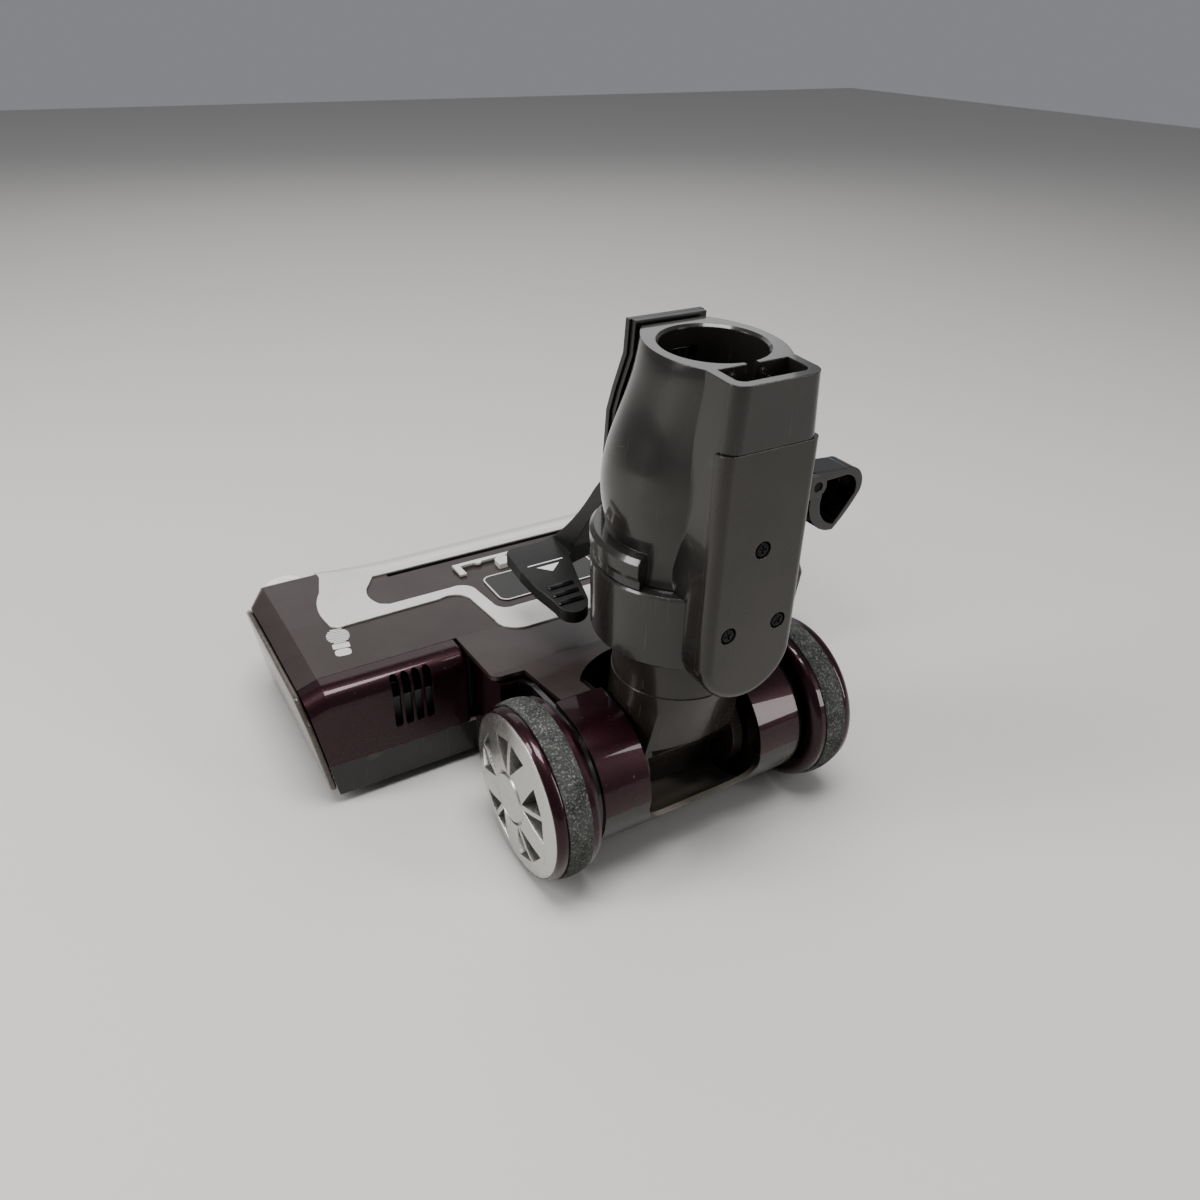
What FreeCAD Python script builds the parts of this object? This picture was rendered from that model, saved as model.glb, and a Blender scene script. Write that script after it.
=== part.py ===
# Motorised floor nozzle of a canister vacuum, with its upright wand neck.
# Frame: x across the head, +x is the user's left; -y is forward, +z is up.
# Every piece is drawn about the wheel axle's floor line, and its Placement moves
# it back by axle_y, which puts the origin at the bottom centre of the whole box.
import FreeCAD, Part
import Sketcher
import math
import os
from FreeCAD import Vector

doc = FreeCAD.newDocument("floor_nozzle")
sheet = doc.addObject("Spreadsheet::Sheet", "Sizes")


class Size:
    # A number together with the sheet formula that gives it.
    def __init__(self, value, text):
        self.value = float(value)
        self.text = text

    def __add__(self, other):
        other = size(other)
        return Size(self.value + other.value, "(%s + %s)" % (self.text, other.text))

    def __sub__(self, other):
        other = size(other)
        return Size(self.value - other.value, "(%s - %s)" % (self.text, other.text))

    def __mul__(self, other):
        other = size(other)
        return Size(self.value * other.value, "(%s * %s)" % (self.text, other.text))

    def __truediv__(self, other):
        other = size(other)
        return Size(self.value / other.value, "(%s / %s)" % (self.text, other.text))

    def __neg__(self):
        return Size(-self.value, "(0 - %s)" % self.text)

    def __radd__(self, other):
        return size(other) + self

    def __rsub__(self, other):
        return size(other) - self

    def __rmul__(self, other):
        return size(other) * self


def size(number):
    if isinstance(number, Size):
        return number
    return Size(number, "(%s)" % repr(float(number)))


class Sizes:
    # The driving dimensions, read as S.name.
    pass


S = Sizes()
rows = []


def define(**numbers):
    # Puts plain numbers in the sheet, one aliased cell each.
    for name, number in numbers.items():
        row = len(rows) + 1
        rows.append(name)
        sheet.set("A%d" % row, name)
        sheet.set("B%d" % row, str(number))
        sheet.setAlias("B%d" % row, name)
        setattr(S, name, Size(number, "Sizes." + name))


# ---- head casing ----
define(axle_y=89.25, gap=0.3, wall=3.0)
define(head_half=171.0, wing_front=231.0, wing_rear=88.0, middle_half=75.0, end_draft=11.0)
define(sole_z=7.0, sole_wall=3.0, split_z=28.0, cover_z=76.0, seam_y=106.0, wing_round=12.0)
define(crease_in=12.0, crease_drop=4.0, corner_back=18.0, nose_z=44.0, brow_drop=2.5)
define(brow_y=203.0, horn_y=218.0, dip_x=84.0, horn_x=122.0, flat_y=160.0, slot_y=198.0)
define(tail_y=14.0, tail_z=86.0, tail_half=58.5, neck_gap_radius=50.0, tail_lip=2.5, arch_y=53.0)
define(cap_bulge=3.5, trim_rise=1.0)
define(barrel_radius=37.5, shoulder_in=35.0, shoulder_out=62.0, trough_wall=3.0)
# ---- brush, belt and motor ----
define(brush_y=192.0, brush_z=30.0, dowel_radius=17.0, bristle_reach=27.0, mouth_half=140.0)
define(mouth_front=218.0, mouth_rear=167.0, belt_x=128.0, belt_width=7.0, belt_thick=1.6)
define(motor_y=128.0, motor_z=42.0, motor_radius=21.0, motor_front_x=30.0, motor_back_x=106.0)
define(shaft_radius=3.0, pulley_radius=7.0, groove_radius=15.0)
# ---- wheels ----
define(tyre_radius=47.5, tyre_in=74.0, tyre_out=87.0, rim_in=67.0, tyre_depth=4.5, flange_step=1.5)
define(hub_x=93.0, hub_step=2.4, hub_lip=3.0, hub_thick=8.0, plug_step=6.0, pocket_depth=6.2)
define(stub_radius=5.0, spin_gap=0.06)
define(roller_radius=9.0, roller_width=14.0, roller_x=48.0, roller_y=148.0)
S.axle_z = S.tyre_radius
S.rim_radius = S.tyre_radius - S.tyre_depth
S.flange_radius = S.tyre_radius - S.flange_step
S.hub_radius = S.flange_radius - S.hub_step
# ---- neck ----
define(neck_y=2.0, elbow_radius=33.0, pivot_radius=24.0, trunnion_radius=10.0, elbow_mouth_z=64.0)
define(spigot_top=162.0, skirt_z=125.5, neck_seam_z=165.0, rib_foot=170.5, rib_top=181.0)
define(rib_radius=46.0, rib_half_angle=118.0, skirt_radius=44.5, neck_top=272.0)
define(bore_y=12.0, bore_radius=23.5, bore_depth=66.0, rim_chamfer=1.2, duct_radius=18.0)
define(cover_thick=7.0, cover_top=240.0, cover_foot=113.0, socket_half=18.0, socket_web=3.0)
define(socket_length=15.0, socket_corner=4.0, housing_wall=4.5, flank_wall=2.0, socket_depth=26.0, pin_radius=1.6)
define(latch_half=8.0, latch_top=262.0, latch_foot=238.0, block_rise=1.8)
S.socket_front = S.bore_y + S.bore_radius + S.socket_web
S.socket_rear = S.socket_front + S.socket_length
S.housing_y = S.socket_rear + S.housing_wall
S.housing_half = S.bore_radius + S.flank_wall
S.lip = S.bore_radius - S.bore_y
# ---- foot levers ----
define(pedal_pin_y=49.0, pedal_pin_z=190.0, pedal_half=8.0, pedal_thick=7.0, pin_r=2.5)
define(lever_y=24.0, lever_depth=14.0, lever_root=42.0, lever_reach=74.0, lever_z=200.0)
# ---- front fittings ----
define(lens_inner=129.5, lens_outer=158.5, lens_front=236.8, lens_top=70.0)

pieces = []


def new_body(name, x=None, z=None):
    body = doc.addObject("PartDesign::Body", name)
    body.Label = name
    body.setExpression("Placement.Base.y", S.axle_y.text)
    for way, number in (("x", x), ("z", z)):
        if number is not None:
            body.setExpression("Placement.Base." + way, size(number).text)
    pieces.append(body)
    return body


def attach(body, plane, lift=None):
    sketch = body.newObject("Sketcher::SketchObject", body.Name + "_sketch")
    origin = [part for part in body.Origin.OriginFeatures if part.Role == plane + "_Plane"][0]
    sketch.AttachmentSupport = (origin, [""])
    sketch.MapMode = "FlatFace"
    if lift is not None:
        lift = size(lift)
        sketch.AttachmentOffset.Base.z = lift.value
        sketch.setExpression("AttachmentOffset.Base.z", lift.text)
    return sketch


def fix_point(sketch, geo, end, x, y):
    for kind, number in (("DistanceX", size(x)), ("DistanceY", size(y))):
        row = sketch.addConstraint(Sketcher.Constraint(kind, -1, 1, geo, end, number.value))
        sketch.setExpression("Constraints[%d]" % row, number.text)


def outline(sketch, start, *steps):
    # Closed path. A step is (x, y) for a straight run, or (mx, my, x, y) for an arc
    # through (mx, my). The last step ends at the start.
    first = sketch.GeometryCount
    here = [size(n) for n in start]
    for step in steps:
        step = [size(n) for n in step]
        here_at = Vector(here[0].value, here[1].value, 0)
        there_at = Vector(step[-2].value, step[-1].value, 0)
        if len(step) == 2:
            sketch.addGeometry(Part.LineSegment(here_at, there_at), False)
        else:
            middle = Vector(step[0].value, step[1].value, 0)
            sketch.addGeometry(Part.Arc(here_at, middle, there_at), False)
        here = step[-2:]
    arcs = []
    here = [size(n) for n in start]
    ends = []
    for index, step in enumerate(steps):
        geo = first + index
        ends.append(outline_ends(sketch, geo, here))
        if len(step) == 4:
            arcs.append((geo, step[0], step[1]))
        here = [size(n) for n in step[-2:]]
    for index in range(len(steps)):
        following = (index + 1) % len(steps)
        joint = Sketcher.Constraint("Coincident", first + index, ends[index][1],
                                    first + following, ends[following][0])
        sketch.addConstraint(joint)
    for index, step in enumerate(steps):
        fix_point(sketch, first + index, ends[index][1], step[-2], step[-1])
    for geo, x, y in arcs:
        mark = sketch.addGeometry(Part.Point(Vector(size(x).value, size(y).value, 0)), True)
        fix_point(sketch, mark, 1, x, y)
        sketch.addConstraint(Sketcher.Constraint("PointOnObject", mark, 1, geo))


def outline_ends(sketch, geo, here):
    # Which of the edge's two ends is its start: an arc is always stored anticlockwise.
    at = Vector(here[0].value, here[1].value, 0)
    if (sketch.getPoint(geo, 1) - at).Length <= (sketch.getPoint(geo, 2) - at).Length:
        return 1, 2
    return 2, 1


def box_outline(sketch, x_low, x_high, y_low, y_high):
    outline(sketch, (x_low, y_low), (x_high, y_low), (x_high, y_high), (x_low, y_high), (x_low, y_low))


def circle(sketch, x, y, radius):
    radius = size(radius)
    geo = sketch.addGeometry(Part.Circle(Vector(size(x).value, size(y).value, 0), Vector(0, 0, 1),
                                         radius.value), False)
    fix_point(sketch, geo, 3, x, y)
    row = sketch.addConstraint(Sketcher.Constraint("Radius", geo, radius.value))
    sketch.setExpression("Constraints[%d]" % row, radius.text)


def feature(body, kind, profile, **settings):
    made = body.newObject("PartDesign::" + kind, body.Name + "_" + kind.lower())
    made.Profile = profile
    for name, setting in settings.items():
        if isinstance(setting, Size):
            setattr(made, name, setting.value)
            made.setExpression(name, setting.text)
        else:
            setattr(made, name, setting)
    profile.Visibility = False
    return made


def add(body, plane, low, high, draw, *numbers):
    # Solid between two levels along the plane's own axis (x for YZ, y for XZ, z for XY).
    low, high = size(low), size(high)
    sketch = attach(body, plane, -high if plane == "XZ" else low)
    draw(sketch, *numbers)
    return feature(body, "Pad", sketch, Length=high - low)


def cut(body, plane, low, high, draw, *numbers):
    # The same, as a cut, which has to take something away.
    low, high = size(low), size(high)
    doc.recompute()
    before = body.Shape.Volume
    sketch = attach(body, plane, -low if plane == "XZ" else high)
    draw(sketch, *numbers)
    made = feature(body, "Pocket", sketch, Length=high - low)
    doc.recompute()
    if not body.Shape.Volume < before - 1e-6:
        raise RuntimeError("%s cuts nothing" % made.Name)
    return made


def spin(body, sketch, axis="H_Axis", cut=False):
    kind = "Groove" if cut else "Revolution"
    return feature(body, kind, sketch, ReferenceAxis=(sketch, [axis]), Angle=360.0)


def round_edges(body, radius, choose, kind="Fillet", **settings):
    # Fillets or chamfers the edges of the body so far that choose(edge) accepts.
    doc.recompute()
    base = body.Tip
    names = ["Edge%d" % (n + 1) for n, edge in enumerate(base.Shape.Edges) if choose(edge)]
    if not names:
        raise RuntimeError("%s has no such edge" % body.Name)
    made = body.newObject("PartDesign::" + kind, body.Name + "_" + kind.lower())
    made.Base = (base, names)
    name = "Radius" if kind == "Fillet" else "Size"
    radius = size(radius)
    setattr(made, name, radius.value)
    made.setExpression(name, radius.text)
    for key, setting in settings.items():
        setattr(made, key, setting)
    return made


def near(a, b, tolerance=0.05):
    return abs(a - size(b).value) < tolerance


def span(side, inner, outer):
    # Low and high x of something that reaches from inner to outer on one side.
    if side > 0:
        return size(inner), size(outer)
    return -size(outer), -size(inner)


def loft(body, sketches):
    return feature(body, "AdditiveLoft", sketches[0], Sections=sketches[1:])


SIDES = (("left", 1), ("right", -1))


# ---------------- casing ----------------
def cover_side(sketch, inset, drop, brow, front, reach):
    # Side view of the cover at one place across it. The core of the shell is the same
    # form, inset by the wall and reaching further down and back.
    nose = inset - front
    spring = S.nose_z + 12
    top = S.cover_z - drop - inset
    rise = top - S.brow_drop - spring
    depth = -brow - nose
    tail = reach - S.tail_y
    foot = S.nose_z - reach
    outline(sketch, (nose, foot), (nose, spring),
            (nose + depth * 0.293, spring + rise * 0.707, -brow, top - S.brow_drop),
            (-S.flat_y, top), (-S.seam_y, top), (-S.seam_y + 46, top + 3),
            (tail, S.tail_z - drop - inset), (tail, foot), (nose, foot))


def cover_form(body, kind, inset, reach):
    # The cover from end to end: the brow stands back in the middle, comes forward as a
    # horn before each lamp, and a facet with a cut corner runs down to each end.
    half = [(S.head_half, S.crease_drop, S.horn_y - S.corner_back, S.wing_front - S.corner_back),
            (S.head_half - S.crease_in, size(0), S.horn_y, S.wing_front),
            (S.horn_x, size(0), S.horn_y, S.wing_front),
            (S.dip_x, size(0), S.brow_y, S.wing_front)]
    mirrored = [(-place, drop, brow, front) for place, drop, brow, front in reversed(half)]
    sketches = []
    for place, drop, brow, front in half + mirrored:
        sketch = attach(body, "YZ", place)
        cover_side(sketch, size(inset), drop, brow, front, size(reach))
        sketches.append(sketch)
    return feature(body, kind, sketches[0], Sections=sketches[1:], Ruled=True)


def end_line(lift):
    # Foot and head, in (x, z), of the line that the head's end leans along, moved out by lift.
    slope = S.end_draft / (S.cover_z - S.sole_z)
    head = S.cover_z + 20
    foot_x = S.head_half - slope * S.cover_z + lift
    return (foot_x, size(0)), (foot_x + slope * head, head)


def past_end(sketch, way, lift, far):
    # What lies between the leaning end line and an upright line at x = far.
    (low, foot), (high, head) = end_line(lift)
    outline(sketch, (way * low, foot), (way * high, head), (way * size(far), head),
            (way * size(far), foot), (way * low, foot))


def trim_end(body, way, lift=0):
    cut(body, "XZ", -S.wing_front - 10, 10, past_end, way, lift, S.head_half + 30)


def past_corner(sketch, way):
    # What lies outside the cut front corner, in plan.
    edge = S.head_half - S.crease_in
    corner_y = -S.wing_front
    outline(sketch, (way * (edge - S.crease_in), corner_y - S.corner_back),
            (way * (S.head_half + S.crease_in), corner_y + S.corner_back * 2),
            (way * (S.head_half + S.crease_in), corner_y - S.corner_back),
            (way * (edge - S.crease_in), corner_y - S.corner_back))


def tail_outline(sketch):
    # Plan of what is cut away beside the cover's tail, left and right in one loop each.
    far = S.head_half + 10
    half = S.middle_half + S.tail_lip
    for way in (1, -1):
        outline(sketch, (way * half, -S.seam_y),
                (way * half, -S.seam_y + 43),
                (way * (half - 1.5), -S.seam_y + 49, way * (half - 7), -S.seam_y + 51),
                (way * (S.tail_half + 1), -S.seam_y + 52),
                (way * S.tail_half, 0), (way * far, 0), (way * far, -S.seam_y),
                (way * half, -S.seam_y))


def neck_notch(sketch):
    # Round clearance for the neck, running out through the tail.
    reach = S.neck_gap_radius
    edge = S.shoulder_in + 6
    outline(sketch, (edge, 5), (edge, -S.tail_y - 12), (0, S.neck_y - reach, -edge, -S.tail_y - 12),
            (-edge, 5), (edge, 5))


def make_top_cover():
    body = new_body("top_cover")
    cover_form(body, "AdditiveLoft", 0, 0)
    cover_form(body, "SubtractiveLoft", S.wall, 1)
    cut(body, "XY", S.nose_z - 5, S.tail_z + 10, tail_outline)
    cut(body, "XY", S.nose_z - 5, S.tail_z + 10, neck_notch)
    for side, way in SIDES:
        trim_end(body, way)
    cut(body, "XY", S.cover_z - 10, S.cover_z + 5, box_outline, -82, 86, -S.slot_y, -S.slot_y + 4)
    cut(body, "XY", S.cover_z - 1, S.cover_z + 5, box_outline, -24, 41, -178.5, -165)
    return body


def band_outer(sketch):
    # Everything outside the silver band, in plan: one loop with the band's outline as a hole.
    box_outline(sketch, -S.head_half - 1, S.head_half + 1, -S.wing_front - 10, 0)
    right = [(125, -213), (131, -193), (138, -172, 137.5, -155), (135.5, -149.5, 129, -148),
             (69, -149), (56, -147, 52.5, -138), (50, -112), (47, -101, 36, -95)]
    loop_through(sketch, right, -S.wing_front - 6)


def band_inner(sketch):
    # The plain field inside the band.
    front = -S.slot_y
    right = [(95, front), (101, front + 10), (106, -170, 103, -161), (98, -158), (58, -158),
             (49, -156, 45, -147), (43, -129), (40, -122, 32, -120)]
    loop_through(sketch, right, front)


def loop_through(sketch, right, front):
    # Closed loop from a right-hand half given front to back, and its mirror image.
    steps = [tuple(step) for step in right]
    mirrored = []
    points = [step[-2:] for step in right]
    for index in range(len(right) - 1, -1, -1):
        step = right[index]
        if index == len(right) - 1:
            mirrored.append((-points[index][0], points[index][1]))
        if index == 0:
            break
        before = points[index - 1]
        if len(step) == 4:
            mirrored.append((-step[0], step[1], -before[0], before[1]))
        else:
            mirrored.append((-before[0], before[1]))
    start = (right[0][0], front)
    closing = [] if front is right[0][1] else [(-right[0][0], front)]
    first = [] if front is right[0][1] else [right[0]]
    outline(sketch, start, *(first + steps[1:] + mirrored + closing + [start]))


def make_silver_trim():
    body = new_body("silver_trim")
    cover_form(body, "AdditiveLoft", -S.trim_rise, 0)
    cover_form(body, "SubtractiveLoft", 0, 1)
    cut(body, "XY", S.nose_z - 5, S.tail_z + 10, band_outer)
    cut(body, "XY", S.nose_z - 5, S.tail_z + 10, band_inner)
    cut(body, "XY", S.nose_z - 1, S.nose_z + 8, box_outline, -S.head_half, S.head_half,
        -S.wing_front - 5, 0)
    return body


def wing_side(sketch, inset, drop, reach):
    # Side view of the rear wing: flat top, rounded shoulder and upright back.
    top = S.cover_z - drop - inset
    rear = -S.wing_rear - inset
    front = -S.seam_y + S.gap - reach
    foot = S.split_z + S.gap - reach
    radius = S.wing_round - inset
    bow = radius * 0.293
    outline(sketch, (front, foot), (front, top), (rear - radius, top),
            (rear - bow, top - bow, rear, top - radius), (rear, foot), (front, foot))


def wing_form(body, way, kind, inner, inset, reach):
    sketches = []
    edge = S.head_half - S.crease_in
    for place, drop in ((inner, size(0)), (edge, size(0)), (S.head_half, S.crease_drop)):
        sketch = attach(body, "YZ", way * place)
        wing_side(sketch, size(inset), drop, size(reach))
        sketches.append(sketch)
    return feature(body, kind, sketches[0], Sections=sketches[1:], Ruled=True)


def make_wing(name, way):
    # Rear wing shell, closed at its inner end by a wall that runs back under the cover's tail.
    body = new_body("rear_housing_" + name)
    mid = S.middle_half
    inner = mid + S.tail_lip + S.gap
    wing_form(body, way, "AdditiveLoft", inner, 0, 0)
    wing_form(body, way, "SubtractiveLoft", inner + S.wall, S.wall, 1)
    foot = S.split_z + S.gap
    lid = S.cover_z - S.wall - S.gap
    front = -S.seam_y + S.gap
    rear = -S.arch_y
    low, high = span(way, mid - S.wall, inner + 1)
    add(body, "YZ", low, high, box_outline, front, -S.wing_rear - 6.5, foot, lid)
    low, high = span(way, mid - S.wall, mid)
    add(body, "YZ", low, high, side_wall, front, rear, foot, lid)
    low, high = span(way, S.shoulder_out, mid)
    add(body, "XY", foot, lid + 2, box_outline, low, high, rear - S.wall, rear)
    corner = way * inner
    round_edges(body, 3, lambda e: near(e.BoundBox.XMin, corner) and near(e.BoundBox.XMax, corner)
                and near(e.BoundBox.YMin, -S.wing_rear) and near(e.BoundBox.YMax, -S.wing_rear)
                and e.BoundBox.ZLength > 20)
    for index in range(4):
        cut(body, "XZ", -S.seam_y + 6, -S.wing_rear + 5, vent_outline, way * (102.5 + 6.3 * index))
    trim_end(body, way)
    return body


def side_wall(sketch, front, rear, foot, lid):
    # Wall under the tail; its top follows the cover.
    outline(sketch, (front, foot), (rear, foot), (rear, lid + 3), (-S.seam_y + 46, lid + 2.5),
            (front, lid), (front, foot))


def vent_outline(sketch, middle):
    half = 2.2
    low = 43
    high = 71.5
    middle = size(middle)
    outline(sketch, (middle - half, low), (middle, low - half, middle + half, low),
            (middle + half, high), (middle, high + half, middle - half, high), (middle - half, low))


def make_base():
    body = new_body("base")
    half = S.head_half
    edge = half - S.crease_in
    corner = -S.wing_front + S.corner_back
    inner = half - S.end_draft - S.wall
    mid = S.middle_half
    waist = S.shoulder_out
    step = -S.arch_y
    add(body, "XY", S.sole_z, S.split_z, outline, (edge, -S.wing_front), (half, corner),
        (half, -S.wing_rear), (mid, -S.wing_rear), (mid, step), (waist, step), (waist, -36),
        (-waist, -36), (-waist, step), (-mid, step), (-mid, -S.wing_rear), (-half, -S.wing_rear),
        (-half, corner), (-edge, -S.wing_front), (edge, -S.wing_front))
    floor = S.sole_z + S.sole_wall
    partition = -S.mouth_rear + 4
    cut(body, "XY", floor, S.split_z + 1, box_outline, -inner, inner, -S.wing_front + S.wall, partition)
    cut(body, "XY", floor, S.split_z + 1, outline, (inner, partition + S.wall),
        (inner, -S.wing_rear - S.wall), (mid - S.wall, -S.wing_rear - S.wall),
        (mid - S.wall, step - S.wall), (-mid + S.wall, step - S.wall),
        (-mid + S.wall, -S.wing_rear - S.wall), (-inner, -S.wing_rear - S.wall),
        (-inner, partition + S.wall), (inner, partition + S.wall))
    slot = S.belt_width / 2 + 2
    cut(body, "XY", floor, S.split_z + 1, box_outline, S.belt_x - slot, S.belt_x + slot,
        partition - 1, partition + S.wall + 1)
    cut(body, "XY", S.sole_z - 1, floor + 1, box_outline, -S.mouth_half, S.mouth_half,
        -S.mouth_front, -S.mouth_rear)
    inside = S.wall * 0.55
    add(body, "XY", S.split_z - 1, S.nose_z - S.gap, outline, (edge, -S.wing_front), (half, corner),
        (half - S.wall, corner + inside), (edge - inside, -S.wing_front + S.wall),
        (-edge + inside, -S.wing_front + S.wall), (-half + S.wall, corner + inside),
        (-half, corner), (-edge, -S.wing_front), (edge, -S.wing_front))
    for side, way in SIDES:
        trim_end(body, way)
    add_barrel(body)
    for side, way in SIDES:
        add_roller_well(body, way)
    add_motor_saddle(body)
    for x, y in screw_spots():
        add_screw_boss(body, x, y)
    return body


def add_barrel(body):
    # Lower half of the drum round the axle, open in the middle for the neck.
    low = S.axle_z - S.barrel_radius
    reach = S.barrel_radius * 0.7071
    middle = S.shoulder_out
    add(body, "YZ", -middle, middle, outline, (-40, S.sole_z), (0, low),
        (reach, S.axle_z - reach, S.barrel_radius, S.axle_z), (-40, S.axle_z), (-40, S.sole_z))
    hollow = S.barrel_radius - S.trough_wall
    bow = hollow * 0.7071
    cut(body, "YZ", -S.shoulder_in, S.shoulder_in, outline, (-40, S.axle_z - hollow),
        (0, S.axle_z - hollow), (bow, S.axle_z - bow, hollow, S.axle_z), (hollow, 60), (-40, 60),
        (-40, S.axle_z - hollow))
    lip = S.axle_z - 20
    cut(body, "XZ", 15, 45, outline, (-S.shoulder_in, S.axle_z + 5), (-S.shoulder_in, S.axle_z),
        (-S.shoulder_in + 3, lip + 6, -S.shoulder_in + 13, lip), (S.shoulder_in - 13, lip),
        (S.shoulder_in - 3, lip + 6, S.shoulder_in, S.axle_z), (S.shoulder_in, S.axle_z + 5),
        (-S.shoulder_in, S.axle_z + 5))
    for side, way in SIDES:
        low, high = span(way, S.shoulder_in - 1, S.shoulder_out + 1)
        cut(body, "YZ", low, high, circle, 0, S.axle_z, S.stub_radius)
        low, high = span(way, S.shoulder_in - 1, S.shoulder_in + 10)
        cut(body, "YZ", low, high, circle, 0, S.axle_z, S.trunnion_radius + 3)


def add_roller_well(body, way):
    floor = S.sole_z + S.sole_wall
    low, high = span(way, S.roller_x - 12, S.roller_x + 12)
    roof = S.roller_radius * 2 + 1
    add(body, "XY", floor - 1, roof + 2, box_outline, low, high, -S.roller_y - 13, -S.roller_y + 13)
    low, high = span(way, S.roller_x - 8, S.roller_x + 8)
    cut(body, "XY", S.sole_z - 1, roof, box_outline, low, high, -S.roller_y - 10.5, -S.roller_y + 10.5)
    low, high = span(way, S.roller_x - 11, S.roller_x + 11)
    cut(body, "YZ", low, high, circle, -S.roller_y, S.roller_radius, 2)


def add_motor_saddle(body):
    floor = S.sole_z + S.sole_wall
    for x in (S.motor_front_x + 33, S.motor_back_x - 22):
        add(body, "YZ", x, x + 6, outline, (-S.motor_y - 16, floor - 1), (-S.motor_y + 16, floor - 1),
            (-S.motor_y + 16, S.split_z - 1), (-S.motor_y - 16, S.split_z - 1),
            (-S.motor_y - 16, floor - 1))
        cut(body, "YZ", x - 1, x + 7, circle, -S.motor_y, S.motor_z, S.motor_radius + 0.1)


def screw_spots():
    rear = -S.wing_rear - S.wall - 6
    far = S.head_half - S.end_draft - 10
    return [(far, rear), (-far, rear), (S.middle_half - 12, -66), (-S.middle_half + 12, -66),
            (0, rear - 40), (-80, rear - 40)]


def add_screw_boss(body, x, y):
    add(body, "XY", S.sole_z + 1, S.split_z - 1, circle, x, y, 4.5)
    cut(body, "XY", S.sole_z - 1, S.split_z, circle, x, y, 1.8)
    cut(body, "XY", S.sole_z - 1, S.sole_z + 3.2, circle, x, y, 3.6)


def make_end_cap(name, way):
    # Slab against the leaning end of the casing.
    body = new_body("end_cap_" + name)
    low, high = span(way, S.head_half - S.end_draft - 5, S.head_half + S.cap_bulge + 5)
    front = -S.wing_front
    rear = -S.wing_rear
    foot = S.sole_z + 1
    top = S.cover_z - S.crease_drop
    add(body, "YZ", low, high, outline, (rear - 4, foot), (rear, foot + 4), (rear, top - 12),
        (rear - 12, top), (-S.flat_y, top), (-S.horn_y + S.corner_back, top - 2.5), (front, top - 14),
        (front, foot), (rear - 4, foot))
    cut(body, "XZ", front - 5, rear + 5, past_end, way, S.gap, S.middle_half)
    cut(body, "XZ", front - 5, rear + 5, past_end, way, S.gap + S.cap_bulge, S.head_half + 30)
    cut(body, "XY", 0, S.cover_z + 5, past_corner, way)
    return body


def make_shoulder(name, way):
    # Upper half of the drum on one side, over the wheel's stub axle.
    body = new_body("shoulder_" + name)
    low, high = span(way, S.shoulder_in, S.shoulder_out)
    seat = S.axle_z + S.gap * 0.1
    reach = S.barrel_radius * 0.7071
    add(body, "YZ", low, high, outline, (S.barrel_radius, seat),
        (reach, S.axle_z + reach, 2, S.axle_z + S.barrel_radius), (-S.tail_y + S.gap, S.tail_z),
        (-S.tail_y + S.gap, S.tail_z - S.wall - 1), (-42, S.tail_z - 8), (-42, seat),
        (S.barrel_radius, seat))
    cut(body, "YZ", low - 1, high + 1, circle, 0, S.axle_z, S.stub_radius)
    inner, outer = span(way, S.shoulder_in - 1, S.shoulder_in + 10)
    cut(body, "YZ", inner, outer, circle, 0, S.axle_z, S.trunnion_radius + 3)
    return body


def make_bush(name, way):
    # Plain bush round the elbow's trunnion.
    low, high = span(way, S.shoulder_in + 0.1, S.shoulder_in + 9.9)
    body = new_body("pivot_bush_" + name, z=S.axle_z)
    add(body, "YZ", low, high, circle, 0, 0, S.trunnion_radius + 2.98)
    cut(body, "YZ", low - 1, high + 1, circle, 0, 0, S.trunnion_radius + S.spin_gap)


def make_wheel_arch(name, way):
    # Thin black plate between the shoulder and the wheel.
    body = new_body("wheel_arch_" + name)
    low, high = span(way, S.shoulder_out, S.rim_in - 2)
    radius = S.barrel_radius - 1.5
    reach = radius * 0.7071
    z = S.axle_z
    add(body, "YZ", low, high, outline, (-44, 14), (0, z - radius), (reach, z - reach, radius, z),
        (reach, z + reach, 0, z + radius), (-S.tail_y, S.tail_z - 2), (-36, S.tail_z - 3),
        (-S.arch_y + 0.5, S.cover_z), (-S.arch_y + 0.5, 40), (-44, 14))
    cut(body, "YZ", low - 1, high + 1, circle, 0, z, S.stub_radius)
    return body


# ---------------- wheels ----------------
def wheel_body(name):
    return new_body(name, z=S.axle_z)


def ring_profile(sketch, way, start, *steps):
    # Profile in (distance across, radius), mirrored for the right-hand side.
    flipped = []
    for step in steps:
        if len(step) == 4:
            flipped.append((way * step[0], step[1], way * step[2], step[3]))
        else:
            flipped.append((way * step[0], step[1]))
    outline(sketch, (way * start[0], start[1]), *flipped)


def turned(body, way, start, *steps):
    sketch = attach(body, "XZ")
    ring_profile(sketch, way, start, *steps)
    spin(body, sketch, "H_Axis")


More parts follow.
